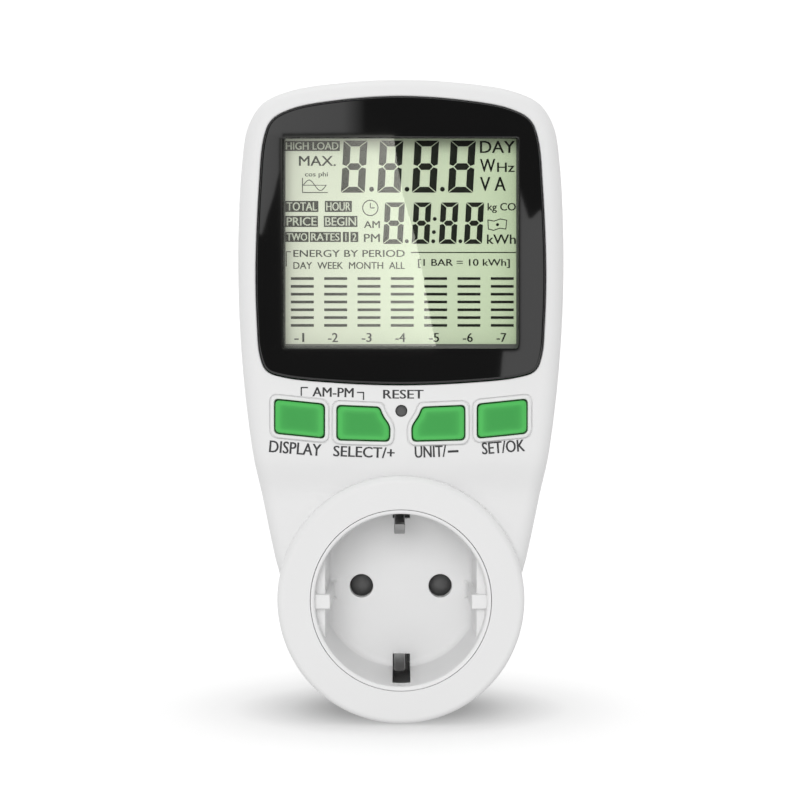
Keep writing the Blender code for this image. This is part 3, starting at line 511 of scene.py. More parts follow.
def front_cover():
    levels = cover_levels(face_y, FRONT_ROUND, 1.0, SPLIT_Y)
    inset = LIP_INSET - GAP
    levels += [(inset, SPLIT_Y, 0.0), (inset, SPLIT_Y, -LIP_LENGTH - GAP), (WALL, SPLIT_Y, -LIP_LENGTH - GAP),
               (WALL, face_y, FRONT_ROUND), (FRONT_ROUND, face_y, WALL)]
    cover = shell("front_cover_shell", levels)
    cut(cover, cylinder("collar_seat", COLLAR_R - 1.4, (-62.0, -46.5), steps=TURN_STEPS))
    fuse(cover, collar())
    posts = []
    holes = []
    for index, at in enumerate(COVER_SCREWS):
        start = FACE_Y + 1.8 if at[1] > 0.0 else COLLAR_Y + 1.8
        posts.append(cylinder(f"post_{index}", POST_R, (start, SPLIT_Y), at, 24))
        holes.append(cylinder(f"post_hole_{index}", SCREW_R + GAP, (POST_HOLE_Y, SPLIT_Y + 1.0), at, 16))
    fuse(cover, *posts)
    cut(cover, *holes)
    mouth = cutter_edge(0.0, FACE_Y, 0.3, 4, lead=3.6, clear=0.05)
    cut(cover, loft("window_hole", lambda inset: window_outline(GAP - inset), mouth + [(0.0, -54.0)]))
    height = KEY_RIM_HEIGHT
    rims = []
    grooves = []
    rim_levels = rounding(0.0, FACE_Y - height, height, height, 6) + [(0.0, FACE_Y + 1.0)]
    groove_levels = [(0.0, FACE_Y - 0.5), (0.0, FACE_Y + KEY_GROOVE_DEPTH)]
    for index in range(4):
        shape = key_shape(index, 1.0)
        rims.append(loft(f"key_rim_{index}", lambda inset, shape=shape: shape(inset - KEY_RIM), rim_levels))
        wide = lambda inset, shape=shape: shape(inset - KEY_RIM - KEY_GROOVE)
        grooves.append(loft(f"key_groove_{index}", wide, groove_levels))
    cut(cover, *grooves)
    fuse(cover, *rims)
    flare = cutter_edge(-GAP, FACE_Y - height, 0.2, 4, lead=3.0, clear=0.05) + [(-GAP, FLANGE_Y[0] - 0.1)]
    holes = [loft(f"key_hole_{index}", key_shape(index), flare) for index in range(4)]
    reset_r = RESET_R + RESET_GAP
    flare = [(0.0, -60.0), (reset_r + 0.15, -60.0), (reset_r + 0.15, FACE_Y - 0.01)]
    flare += rounding(reset_r, FACE_Y, 0.12, 0.12, 4) + [(reset_r, -53.0), (0.0, -53.0)]
    holes.append(turned("reset_hole", flare, RESET_AT))
    for sign in (1.0, -1.0):
        holes.append(block(f"collar_slot_{sign}", EARTH_SLOT, (EARTH_SLOT_Y, -44.0), span(sign, 18.0, 24.5)))
    cut(cover, *holes)
    finish_piece(cover, "front_shell", "housing_white", ["front_cover"])


def rear_cover():
    rim = SPLIT_Y + GAP
    levels = cover_levels(rear_y, REAR_ROUND, -1.0, rim)
    levels += [(LIP_INSET, rim, 0.0), (LIP_INSET, SPLIT_Y, -LIP_LENGTH), (WALL, SPLIT_Y, -LIP_LENGTH),
               (WALL, rear_y, -REAR_ROUND), (REAR_ROUND, rear_y, -WALL)]
    cover = shell("rear_cover_shell", levels)
    lips = []
    columns = []
    bores = []
    for index, at in enumerate(COVER_SCREWS):
        rear = rear_y(at[1])
        lips.append(cylinder(f"lip_gap_{index}", POST_R + GAP, (SPLIT_Y - 5.0, rim), at, 24))
        columns.append(cylinder(f"column_{index}", COLUMN_R, (rim, rear - 1.0), at, 24))
        bores.append(cylinder(f"bore_{index}", SCREW_R + GAP, (rim - 1.0, rear + 1.0), at, 16))
        head_r = SCREW_HEAD_R + GAP
        profile = [(0.0, COUNTERBORE_Y), (head_r, COUNTERBORE_Y), (head_r, rear - 0.4),
                   (head_r + 0.1, rear - 0.1), (head_r + 0.4, rear + 0.02), (head_r + 0.4, rear + 2.0),
                   (0.0, rear + 2.0)]
        bores.append(turned(f"pocket_{index}", profile, at, 32))
    cut(cover, *lips)
    fuse(cover, *columns)
    cut(cover, *bores)
    boss = [(0.0, -19.1), (PLUG_R + 0.8, -19.1), (PLUG_R + 0.8, SOCKET_REAR_Y)]
    boss += [(PLUG_R + 0.8 * (1.0 - math.sin(a)), SOCKET_REAR_Y + 0.8 * (1.0 - math.cos(a)))
             for a in (0.3, 0.6, 0.9, 1.2, 1.5)]
    boss += [(PLUG_R, -0.6), (PLUG_R - 0.08, -0.3), (PLUG_R - 0.3, -0.08), (PLUG_R - 0.6, 0.0), (0.0, 0.0)]
    fuse(cover, turned("plug_boss", boss, steps=TURN_STEPS))
    cutters = [cylinder("plug_core", PLUG_CORE_R, (-30.0, -PLUG_END_T), steps=64)]
    for side in (1.0, -1.0):
        start, half = PLUG_GROOVE
        ys = (SOCKET_REAR_Y + 0.5, 1.0)
        cutters.append(block(f"groove_{side}", span(side, start, 20.0), ys, (-half, half)))
        half, start = PLUG_NOTCH
        cutters.append(block(f"notch_{side}", (-half, half), (SOCKET_REAR_Y, 1.0), span(side, start, 20.0)))
        slot = span(side, start, start + 1.4)
        cutters.append(block(f"pass_{side}", (-half, half), (-24.0, SOCKET_REAR_Y + 1.0), slot))
        cutters.append(cylinder(f"pin_pass_{side}", PLUG_PIN_R + GAP, (-6.0, 1.0), (PIN_X * side, 0.0)))
    plate = rectangle(PLATE_SIZE[0] + GAP, PLATE_SIZE[1] - GAP, PLATE_SIZE[2] + GAP, 1.5)
    cutters.append(loft("plate_recess", plate, [(0.0, DISPLAY_REAR_Y - 0.6), (0.0, DISPLAY_REAR_Y + 1.0)]))
    cut(cover, *cutters)
    finish_piece(cover, "rear_shell", "housing_white", ["rear_cover"])


# ---------------------------------------------------------------- socket

def recess_outline(radius, flat_x, rib_x, rib_half, steps=60):
    """A circle with a flat at each side, and a guide rib standing out of each flat."""
    reach = math.acos(flat_x / radius)
    angles = [reach + (math.pi - 2.0 * reach) * k / steps for k in range(steps + 1)]
    upper = [(radius * math.cos(a), radius * math.sin(a)) for a in angles]
    lower = [(-x, -z) for x, z in upper]
    top, bottom = RIB_Z + rib_half, RIB_Z - rib_half
    left = [(-flat_x, top), (-rib_x, top), (-rib_x, bottom), (-flat_x, bottom)]
    return upper + left + lower + [(-x, z) for x, z in reversed(left)]


def ribbed_circle(inset):
    """The recess in front of the flats, with rib tops that are rounded by the inset."""
    half = RIB_HALF + inset
    flat_x = math.sqrt(CUP_MOUTH_R ** 2 - (half - RIB_Z) ** 2)
    return recess_outline(CUP_MOUTH_R, flat_x, RIB_X - inset, half)


def flat_sided(inset):
    """The recess between the flats, with front edges that are rounded by a negative inset."""
    return recess_outline(CUP_MOUTH_R, CUP_FLAT_X - inset, RIB_X, RIB_HALF)


def recess_foot(inset):
    """The recess next to its floor, where every wall moves inwards by the inset."""
    return recess_outline(CUP_MOUTH_R - inset, CUP_FLAT_X - inset, RIB_X - inset, RIB_HALF + inset)


def edge_levels(y):
    """Levels of a cutter that rounds the edge where it enters a face at y."""
    return [(-EDGE_ROUND, y - 0.5)] + rounding(0.0, y, -EDGE_ROUND, EDGE_ROUND, 5)


def socket_cup():
    floor_back = CUP_FLOOR_Y + CUP_FLOOR_T
    cup = turned("socket_cup_solid", [
        (0.0, COLLAR_Y), (CUP_R - 0.12, COLLAR_Y), (CUP_R - 0.04, COLLAR_Y + 0.04), (CUP_R, COLLAR_Y + 0.12),
        (CUP_R, -45.6), (CUP_R + 1.2, -45.6), (CUP_R + 1.2, -43.6), (CUP_R + 0.4, -43.6),
        (CUP_R + 0.4, floor_back), (0.0, floor_back),
    ], steps=TURN_STEPS)
    edge_r = CUP_R - 0.25
    across = edge_r - CUP_MOUTH_R
    mouth = [(0.0, COLLAR_Y - 1.0), (edge_r + 0.3, COLLAR_Y - 1.0), (edge_r + 0.3, COLLAR_Y - 0.01)]
    mouth += rounding(CUP_MOUTH_R, COLLAR_Y, across, CUP_CHAMFER, 10) + [(CUP_MOUTH_R, RIB_Y), (0.0, RIB_Y)]
    cut(cup, turned("mouth_cutter", mouth, steps=TURN_STEPS))
    cut(cup, loft("rib_cutter", ribbed_circle, edge_levels(RIB_Y) + [(0.0, CUP_FLAT_Y)]))
    cut(cup, loft("flat_cutter", flat_sided, edge_levels(CUP_FLAT_Y) + [(0.0, CUP_FLAT_Y + 1.0)]))
    foot = [(FLOOR_FILLET * c, CUP_FLOOR_Y - FLOOR_FILLET * s) for s, c in quarter()]
    cut(cup, loft("foot_cutter", recess_foot, [(0.0, CUP_FLAT_Y + 0.9)] + foot))
    cutters = []
    for sign in (1.0, -1.0):
        cutters.append(block(f"wall_slot_{sign}", EARTH_SLOT, (EARTH_SLOT_Y, -37.0), span(sign, 18.0, 24.0)))
        cutters.append(block(f"floor_slot_{sign}", EARTH_SLOT, (-43.0, -37.0), span(sign, 16.3, 19.0)))
        hole = [(0.0, -43.0), (PIN_HOLE_R + 0.3, -43.0), (PIN_HOLE_R + 0.3, CUP_FLOOR_Y - 0.01)]
        hole += rounding(PIN_HOLE_R, CUP_FLOOR_Y, 0.25, 0.25, 5) + [(PIN_HOLE_R, -37.0), (0.0, -37.0)]
        cutters.append(turned(f"pin_hole_{sign}", hole, (PIN_X * sign, 0.0), 64))
    cut(cup, *cutters)
    finish_piece(cup, "socket_recess", "socket_white", ["socket_cup"])


def rounded_strip(xs, thickness, tip=True):
    """Section of a strip with rounded edges and, where wanted, a rounded free end, for sweep()."""
    middle = (xs[0] + xs[1]) / 2.0
    half = (xs[1] - xs[0]) / 2.0
    corner = thickness * 0.42

    def section(along):
        ring = []
        for turn, (sx, sh) in enumerate(((1, 1), (-1, 1), (-1, -1), (1, -1))):
            for u, v in arc(corner, 90.0 * turn, 22.5, 5):
                x = sx * (half - corner) + u
                h = sh * (thickness / 2.0 - corner) + v
                pull = 1.1 * (abs(x) / half) ** 2.5 * smooth_step(along, 0.86, 1.0) if tip else 0.0
                ring.append((middle + x, h, -pull))
        return ring
    return section


def socket_earth():
    plate = loft("earth_plate", rectangle(4.0, -12.0, 12.0, 0.8),
                 [(0.1, -35.3), (0.0, -35.2), (0.0, -34.6), (0.1, -34.5)])
    start = EARTH_CLIP_PATH[0]
    end = EARTH_CLIP_PATH[-1]
    guide = [(start[0], start[1] - 3.0)] + EARTH_CLIP_PATH + [(end[0] - 1.0, end[1] + 1.5)]
    path = smooth_path(guide, 10)
    for sign in (1.0, -1.0):
        section = rounded_strip(EARTH_CLIP, EARTH_CLIP_T)
        fuse(plate, sweep(f"clip_{sign}", [(y, z * sign) for y, z in path], section))
    radius, at = RIVET_HOLE
    cut(plate, cylinder("post_clearance", 2.4, (-37.0, -33.0)))
    cut(plate, cylinder("rivet_clearance", radius, (-37.0, -33.0), at))
    finish_piece(plate, "socket_earth_strap", "nickel", ["socket_earth_bracket"], "clip_steel", sharp=40.0)


def shutter_outline(inset):
    """Two blades on a hub."""
    half = arc(BLADE_R - inset, -21.0, 3.5, 13) + arc(HUB_R - inset, 50.0, 10.0, 9)
    return half + [(-x, -z) for x, z in half]


def pin_shutter():
    """Two blades on one hub, with a low dome sunk into each blade behind its pin hole."""
    front, pocket, back = SHUTTER_Y
    blades = loft("pin_shutter_blades", shutter_outline, SHUTTER_EDGE)
    cut(blades, cylinder("shutter_bore", 2.35, (front - 1.0, back + 1.0)),
        cylinder("shutter_pocket", 4.1, (pocket, back + 1.0)))
    around = [(DOME_R * k / 8.0, front + 0.02 + DOME_DROP * (k / 8.0) ** 2) for k in range(9)]
    for side in (-1.0, 1.0):
        cut(blades, turned("dome_cut", around + [(DOME_R + 0.15, front - 0.5), (0.0, front - 0.5)],
                           (side * PIN_X, 0.0)))
    finish_piece(blades, "pin_shutter_blades", "dark_plastic", ["pin_shutter"], body="pin_shutter")


def plug_pins():
    for name, side in (("line_pin", -1.0), ("neutral_pin", 1.0)):
        low, high = node_box(name)
        tip = high.y
        profile = [(0.0, tip), (1.0, tip), (1.35, tip - 0.12), (1.8, tip - 0.55), (2.2, tip - 1.3),
                   (PLUG_PIN_R, tip - 2.2), (PLUG_PIN_R, -3.3), (3.4, -3.3), (3.4, -5.0), (2.0, -5.0),
                   (2.0, low.y), (0.0, low.y)]
        pin = turned(name + "_round", profile, (PIN_X * side, 0.0), 48)
        finish_piece(pin, name + "_round", "nickel", [name])


def plug_earth():
    """Strip that comes out at the top and bottom of the plug's body."""
    bar = block("plug_earth_bar", (-2.5, 2.5), (-21.6, -20.8), (-16.0, 16.0))
    for sign in (1.0, -1.0):
        outline = [(-21.2, 14.0), (-21.2, 16.2), (-20.6, 17.0), (-18.0, 17.0), (-12.0, 17.0), (-6.0, 17.0),
                   (-1.4, 17.0), (-0.9, 16.9)]
        path = smooth_path([(-21.2, 11.0)] + outline + [(0.0, 16.7)], 3)
        section = rounded_strip((-2.5, 2.5), 0.78, False)
        fuse(bar, sweep(f"arm_{sign}", [(y, z * sign) for y, z in path], section))
    radius, at = RIVET_HOLE
    cut(bar, cylinder("rivet_clearance", radius, (-23.0, -19.0), at))
    finish_piece(bar, "plug_earth_strap", "nickel", ["plug_earth_bracket"], sharp=40.0)


# ---------------------------------------------------------------- window and display

def window_bezel():
    low, high = node_box("window_bezel")
    front, back = low.y, high.y
    round_r = 0.45
    levels = rounding(0.0, front, round_r, round_r) + [(0.0, back)]
    bezel = loft("bezel_solid", lambda inset: window_outline(-inset), levels)
    x, z_low, z_high = LCD_OPENING
    flare = cutter_edge(0.0, front, 0.25, 5, clear=0.05)
    lip = [(0.0, front + BEZEL_LIP), (-1.0, front + BEZEL_LIP), (-1.0, back + 1.0)]
    cut(bezel, loft("opening", rectangle(x, z_low, z_high, 0.7), flare + lip))
    finish_piece(bezel, "window_frame", "bezel_black", ["window_bezel"])


def pane_face_y():
    return node_box("window_bezel")[0].y + PANE_FACE


def window_pane():
    """Clear sheet held behind the frame's thin lip, nearly level with the frame's front."""
    front = pane_face_y()
    back = front + PANE_T
    x, z_low, z_high = LCD_OPENING
    shape = rectangle(x + PANE_OVERLAP, z_low - PANE_OVERLAP, z_high + PANE_OVERLAP, 1.0)
    levels = [(0.1, front), (0.0, front + 0.1), (0.0, back - 0.1), (0.1, back)]
    pane = loft("window_sheet", shape, levels)
    finish_piece(pane, "window_sheet", "clear_pane", ["window_pane"])
    pane.visible_shadow = False
    pane.visible_diffuse = False


def lcd_parts():
    low, high = node_box("lcd_panel")
    front = low.y + FILM_T
    shape = rectangle(high.x, low.z, high.z, 0.3)
    levels = [(0.1, front), (0.0, front + 0.1), (0.0, high.y - 0.1), (0.1, high.y)]
    finish_piece(loft("lcd_glass_pair", shape, levels), "lcd_glass_pair", "lcd_glass", ["lcd_panel"])
    film = loft("lcd_film", rectangle(FILM_X, FILM_Z[0], FILM_Z[1], 0.2),
                [(0.03, low.y), (0.0, low.y + 0.03), (0.0, front - 0.01)])
    finish_piece(film, "lcd_film", "lcd_glass", look="lcd_film")


class Marks:
    """Thin raised marks gathered in one mesh."""

    def __init__(self, y_front, y_back):
        self.bm = bmesh.new()
        self.front = y_front
        self.back = y_back

    def plate(self, outline):
        skin(self.bm, [[(x, y, z) for x, z in outline] for y in (self.front, self.back)])

    def bar(self, x0, x1, z0, z1):
        self.plate([(x0, z0), (x1, z0), (x1, z1), (x0, z1)])

    def disc(self, x, z, radius, steps=20):
        self.plate(circle(radius, steps, (x, z)))

    def stroke(self, points, width, closed=False):
        """A line of constant width along (x, z) points."""
        for start, end in zip(points, points[1:] + points[:1] if closed else points[1:]):
            start, end = Vector(start), Vector(end)
            along = (end - start).normalized() * width / 2.0
            side = Vector((-along.y, along.x))
            a, b = start - along * 0.6, end + along * 0.6
            self.plate([tuple(p) for p in (a + side, a - side, b - side, b + side)])

    def ring(self, x, z, radius, width, steps=32):
        inner, outer = radius - width / 2.0, radius + width / 2.0
        rows = []
        for r, y in ((inner, self.front), (outer, self.front), (outer, self.back), (inner, self.back)):
            rows.append([self.bm.verts.new((px, y, pz)) for px, pz in circle(r, steps, (x, z))])
        join_rings(self.bm, rows, closed=True)

    def text(self, words, x0, x1, z0, z1, tilt=0.0, bold=0.0):
        """Lettering stretched to fill a box, then tilted about the box's centre."""
        curve = bpy.data.curves.new("lettering", "FONT")
        curve.body = words
        curve.size = 10.0
        curve.extrude = 0.5
        curve.resolution_u = 3
        holder = bpy.data.objects.new("lettering", curve)
        bpy.context.scene.collection.objects.link(holder)
        graph = bpy.context.evaluated_depsgraph_get()
        mesh = bpy.data.meshes.new_from_object(holder.evaluated_get(graph))
        bpy.data.objects.remove(holder, do_unlink=True)
        points = [v.co for v in mesh.vertices]
        low = Vector((min(p.x for p in points), min(p.y for p in points)))
        high = Vector((max(p.x for p in points), max(p.y for p in points)))
        middle_x, middle_z = (x0 + x1) / 2.0, (z0 + z1) / 2.0
        turn = math.radians(tilt)
        flat = [(v.co.x, v.co.y, v.co.z) for v in mesh.vertices]
        strikes = ((-bold, 0.0), (bold, STRIKE_RISE)) if bold else ((0.0, 0.0),)
        for shift, rise in strikes:
            for vertex, (px, py, pz) in zip(mesh.vertices, flat):
                u = ((px - low.x) / (high.x - low.x) - 0.5) * (x1 - x0 - 2.0 * bold) + shift
                v = ((py - low.y) / (high.y - low.y) - 0.5) * (z1 - z0)
                y = self.front - rise if pz > 0.0 else self.back + rise
                x = middle_x + u * math.cos(turn) - v * math.sin(turn)
                vertex.co = (x, y, middle_z + u * math.sin(turn) + v * math.cos(turn))
            self.bm.from_mesh(mesh)
        bpy.data.meshes.remove(mesh)

    def finish(self, name, slot, look):
        bmesh.ops.remove_doubles(self.bm, verts=self.bm.verts, dist=0.0005)
        finish_piece(to_object(name, self.bm), name, slot, look=look)


def seven_segments(marks, x0, x1, z0, z1, t, lean=0.055, gap=0.13):
    """All the segments of one figure, leaning to the right."""
    h = z1 - z0
    w = x1 - x0 - lean * h
    m = h / 2.0
    e = gap
    half = t * 0.46
    top = [(e, h), (w - e, h), (w - t - e, h - t * 0.8), (t + e, h - t * 0.8)]
    upper = [(0.0, h - e), (t, h - t * 0.8 - e), (t, m + half + e), (t * 0.55, m + e * 1.2),
             (0.0, m + t * 0.3)]
    middle = [(t * 0.6 + e, m), (t + e, m + half), (w - t - e, m + half), (w - t * 0.6 - e, m),
              (w - t - e, m - half), (t + e, m - half)]
    shapes = [top, [(u, h - v) for u, v in top], middle]
    shapes += [upper, [(u, h - v) for u, v in upper]]
    shapes += [[(w - u, v) for u, v in upper], [(w - u, h - v) for u, v in upper]]
    for shape in shapes:
        marks.plate([(x0 + u + lean * v, z0 + v) for u, v in shape])


def lcd_marks():
    front = node_box("lcd_panel")[0].y
    dark = Marks(front - 0.02, front + 0.02)
    light = Marks(front - 0.035, front - 0.015)
    for x0, x1 in ((-13.72, -7.62), (-5.4, 0.57), (2.52, 8.74), (10.75, 17.15)):
        seven_segments(dark, x0, x1, 92.22, 104.11, 1.65)
    for x in (-6.7, 1.4, 9.5):
        dark.disc(x, 93.0, 0.55)
    for x0, x1 in ((-4.12, 0.91), (2.45, 7.0), (8.65, 13.2), (14.41, 19.05)):
        seven_segments(dark, x0, x1, 80.5, 89.97, 1.3)
    for x, z in ((1.35, 81.1), (7.75, 86.2), (7.55, 83.2), (7.4, 81.1), (13.6, 81.1)):
        dark.disc(x, z, 0.45)
    boxes = [
        ("HIGH LOAD", -26.62, -13.95, 101.75, 104.04), ("TOTAL", -26.42, -18.87, 87.8, 90.32),
        ("HOUR", -17.38, -11.21, 87.8, 90.32), ("PRICE", -26.42, -18.98, 84.37, 86.89),
        ("BEGIN", -17.61, -9.95, 84.37, 86.89), ("TWO", -26.42, -21.11, 80.94, 83.23),
        ("RATES", -20.81, -13.72, 80.94, 83.23), ("1", -13.27, -11.89, 80.94, 83.23),
        ("2", -11.53, -9.74, 80.94, 83.23),
    ]
    for words, x0, x1, z0, z1 in boxes:
        dark.bar(x0, x1, z0, z1)
        side = {"1": 0.4, "2": 0.24}.get(words, 0.3 / (x1 - x0)) * (x1 - x0)
        light.text(words, x0 + side, x1 - side, z0 + 0.3, z1 - 0.3, bold=0.045)
    words = [
        ("DAY", 18.07, 26.08, 101.3, 104.04), ("W", 18.07, 21.6, 96.95, 99.92),
        ("Hz", 22.0, 26.0, 96.95, 99.1), ("V A", 18.07, 24.02, 92.6, 95.81),
        ("MAX.", -23.33, -14.87, 98.32, 100.61), ("cos phi", -21.96, -16.7, 95.6, 96.95),
        ("AM", -8.46, -4.8, 84.14, 85.74), ("PM", -8.46, -4.8, 80.94, 82.77),
        ("kg CO", 19.81, 26.3, 87.57, 89.86), ("kWh", 19.67, 26.3, 80.48, 82.65),
        ("ENERGY BY PERIOD", -24.59, 0.91, 77.51, 79.11),
        ("DAY  WEEK  MONTH  ALL", -24.59, 0.91, 74.76, 76.36),
        ("[1 BAR = 10 kWh]", 3.89, 24.93, 74.99, 77.05),
    ]
    for item in words:
        dark.text(*item, bold=0.02 * (item[4] - item[3]))
    dark.bar(2.29, 26.3, 78.42, 78.66)
    dark.stroke([(-25.2, 78.7), (-26.2, 78.7), (-26.2, 75.4)], 0.2)
    clock = (-6.98, 88.72)
    dark.ring(*clock, 1.75, 0.22)
    dark.stroke([(clock[0], clock[1] + 1.1), clock, (clock[0] + 0.9, clock[1])], 0.2)
    dark.stroke([(-22.5, 95.5), (-22.5, 92.25), (-16.8, 92.25)], 0.2)
    wave = [(-22.3 + 5.2 * k / 16.0, 93.9 + 1.2 * math.sin(2.0 * math.pi * k / 16.0)) for k in range(17)]
    dark.stroke(wave, 0.18)
    dark.stroke([(-22.3, 93.9), (-17.0, 93.9)], 0.14)
    note = [(19.9, 86.0), (21.3, 85.7), (22.7, 86.2), (24.2, 85.9), (24.0, 83.9), (22.6, 84.1), (21.2, 83.6),
            (20.0, 83.9)]
    dark.stroke(note, 0.2, closed=True)
    dark.disc(22.1, 84.9, 0.35)
    for column in range(7):
        x0 = -25.16 + 7.62 * column
        for row in range(7):
            middle = 72.57 - 1.785 * row
            dark.bar(x0, x0 + 5.25, middle - 0.31, middle + 0.31)
        x_middle = -23.24 + 7.71 * column
        dark.text(f"-{column + 1}", x_middle - 1.15, x_middle + 1.15, 58.07, 60.12, bold=0.05)
    dark.finish("lcd_marks", "lcd_glass", "lcd_dark")
    light.finish("lcd_light_marks", "lcd_glass", "lcd_light")


# ---------------------------------------------------------------- keys and printed labels

def key_cap(index):
    name = KEY_NAMES[index]
    low, high = node_box(name)
    front, back = low.y, high.y
    shape = key_shape(index)
    edge = 0.55
    # Painted light: the third value of each level is how much lighter green the key's material mixes in, 1 on
    # the sides and edge, falling to 0 in the middle of the face
    levels = [(0.0, -53.5, 1.0)]
    levels += [(edge * c, front + 0.16 + edge * s, 1.0) for s, c in quarter(7)]
    corners = key_corners(index)
    xs = [x for x, z in corners]
    zs = [z for x, z in corners]
    centre = ((min(xs) + max(xs)) / 2.0, (min(zs) + max(zs)) / 2.0)
    rings = [[(x, y, z) for x, z in shape(inset)] for inset, y, _ in levels]
    dome = [(0.92, front + 0.09, 0.8), (0.84, front + 0.04, 0.4), (0.7, front + 0.01, 0.12),
            (0.5, front, 0.0)]
    for factor, y, value in dome:
        rings.append([(centre[0] + (x - centre[0]) * factor, y, centre[1] + (z - centre[1]) * factor)
                      for x, z in shape(edge)])
    bm = bmesh.new()
    # The rim attribute carries the painted edge light, not a colour the plastic has
    rim = bm.verts.layers.float.new("rim")
    made = skin(bm, rings)
    for ring, level in zip(made, levels + dome):
        for vertex in ring:
            vertex[rim] = level[2]
    cap = to_object(name + "_cap_solid", bm)
    flange = loft("flange", shape, [(-0.75, y) for y in FLANGE_Y])
    fuse(cap, flange, cylinder("pusher", 1.8, (-53.2, back), centre, 24))
    finish_piece(cap, name + "_cap", "key_green", [name], body=name)


def reset_button():
    low, high = node_box("reset_button")
    front = low.y
    profile = [(0.0, front), (0.5, front), (0.8, front + 0.04), (1.02, front + 0.14), (1.16, front + 0.3),
               (RESET_R, front + 0.55), (RESET_R, FLANGE_Y[0]), (2.3, FLANGE_Y[0]), (2.3, FLANGE_Y[1]),
               (1.2, FLANGE_Y[1]), (1.2, high.y), (0.0, high.y)]
    button = turned("reset_button_cap", profile, RESET_AT, 48)
    finish_piece(button, "reset_button_cap", "dark_plastic", ["reset_button"], body="reset_button")


def printed_labels():
    ink = Marks(FACE_Y - 0.03, FACE_Y + 0.2)
    labels = [
        ("DISPLAY", -29.6, -17.9, 32.6, 35.3, -4.5), ("SELECT/+", -15.2, -1.4, 31.9, 34.3, -2.0),
        ("UNIT/", 3.1, 10.2, 31.9, 34.5, 2.0), ("SET/OK", 18.2, 27.9, 32.9, 35.6, 4.5),
        ("RESET", -4.0, 5.1, 45.1, 47.1, 0.0), ("AM-PM", -19.9, -10.6, 45.5, 47.6, -1.5),
    ]
    for words, x0, x1, z0, z1, tilt in labels:
        ink.text(words, x0, x1, z0, z1, tilt, 0.065)
    ink.stroke([(10.7, 33.2), (12.8, 33.3)], 0.5)
    ink.stroke([(-22.4, 45.8), (-22.4, 47.6), (-21.0, 47.6)], 0.28)
    ink.stroke([(-9.8, 46.5), (-8.4, 46.5), (-8.4, 44.9)], 0.28)
    ink.finish("printed_labels", "dark_plastic", "label_ink")


# ---------------------------------------------------------------- back

def cover_screws():
    for index, at in enumerate(COVER_SCREWS):
        node = f"cover_screw_{index + 1}"
        low, high = node_box(node)
        head = high.y
        profile = [(0.0, head), (0.9, head), (1.5, head - 0.18), (SCREW_HEAD_R - 0.1, head - 0.5),
                   (SCREW_HEAD_R, head - 0.9), (SCREW_HEAD_R, head - 1.4), (SCREW_R, head - 1.4)]
        turns = 14
        pitch = (head - 1.8 - low.y - 1.2) / turns
        y = head - 1.8
        for _ in range(turns):
            profile += [(SCREW_R, y), (0.72, y - pitch / 2.0)]
            y -= pitch
        profile += [(SCREW_R * 0.8, y), (0.2, low.y), (0.0, low.y)]
        screw = turned(f"screw_solid_{index}", profile, at, 32)
        cross = []
        for dx, dz in ((1.15, 0.22), (0.22, 1.15)):
            xs = (at[0] - dx, at[0] + dx)
            zs = (at[1] - dz, at[1] + dz)
            cross.append(block(f"cross_{dx}", xs, (head - 0.75, head + 0.5), zs))
        cut(screw, *cross)
        finish_piece(screw, f"{node}_head", "steel", [node])


def rating_plate():
    low, high = node_box("rating_plate")
    shape = rectangle(high.x, low.z, high.z, 1.5)
    levels = [(0.0, low.y), (0.0, high.y - 0.06), (0.06, high.y)]
    finish_piece(loft("back_plate", shape, levels), "back_plate", "plate_silver", ["rating_plate"])


# ---------------------------------------------------------------- materials

def add_node(tree, kind, values=None, **settings):
    """Add a node; values maps socket names or numbers to plain values or to sockets to link from."""
    node = tree.nodes.new(kind)
    for key, value in settings.items():
        setattr(node, key, value)
    for key, value in (values or {}).items():
        if isinstance(value, bpy.types.NodeSocket):
            tree.links.new(value, node.inputs[key])
        else:
            node.inputs[key].default_value = value
    return node


def spread(colour, factor):
    return (*[min(1.0, c * factor) for c in colour], 1.0)


class Look:
    """A material in the making, with the chains of nodes that most looks share."""

    def __init__(self, name):
        self.made = bpy.data.materials.new(name)
        self.made.use_nodes = True
        self.tree = self.made.node_tree
        self.shader = self.tree.nodes["Principled BSDF"]
        self.place = self.add("ShaderNodeTexCoord").outputs["Object"]

    def add(self, kind, values=None, **settings):
        return add_node(self.tree, kind, values, **settings)

    def feed(self, socket, source):
        self.tree.links.new(source, self.shader.inputs[socket])

    def set(self, values):
        for socket, value in values.items():
            self.shader.inputs[socket].default_value = value
        return self

    def noise(self, scale, detail, vector=None):
        values = {"Vector": vector or self.place, "Scale": scale, "Detail": detail}
        return self.add("ShaderNodeTexNoise", values).outputs["Fac"]

    def ramp(self, value, **reach):
        """Map a value's range to another one."""
        values = {key.replace("_", " "): number for key, number in reach.items()}
        return self.add("ShaderNodeMapRange", {"Value": value, **values}).outputs["Result"]

    def tint(self, factor, low, high):
        mix = self.add("ShaderNodeMix", {"Factor": factor, 6: low, 7: high}, data_type="RGBA")
        self.feed("Base Color", mix.outputs[2])

    def tint_over(self, factor, colour):
        """Mix one more colour into the base colour made so far."""
        self.tint(factor, self.shader.inputs["Base Color"].links[0].from_socket, (*colour, 1.0))
        return self

    def gloss(self, value, low, high):
        self.feed("Roughness", self.ramp(value, To_Min=low, To_Max=high))

    def bump(self, height, strength, distance):
        values = {"Height": height, "Strength": strength, "Distance": distance}
        self.feed("Normal", self.add("ShaderNodeBump", values).outputs["Normal"])


def moulded(name, colour, roughness, grain=0.02, grain_mm=0.25, vary=0.04):
    """Moulded plastic, rubber or coating: fine surface grain, with slow changes of colour and gloss."""
    look = Look(name)
    slow = look.noise(60.0, 4.0)
    look.tint(slow, spread(colour, 1.0 - vary), spread(colour, 1.0 + vary))
    look.gloss(slow, roughness * 0.85, roughness * 1.15)
    look.bump(look.noise(1.0 / (grain_mm * MM), 3.0), grain, grain_mm * MM)
    return look


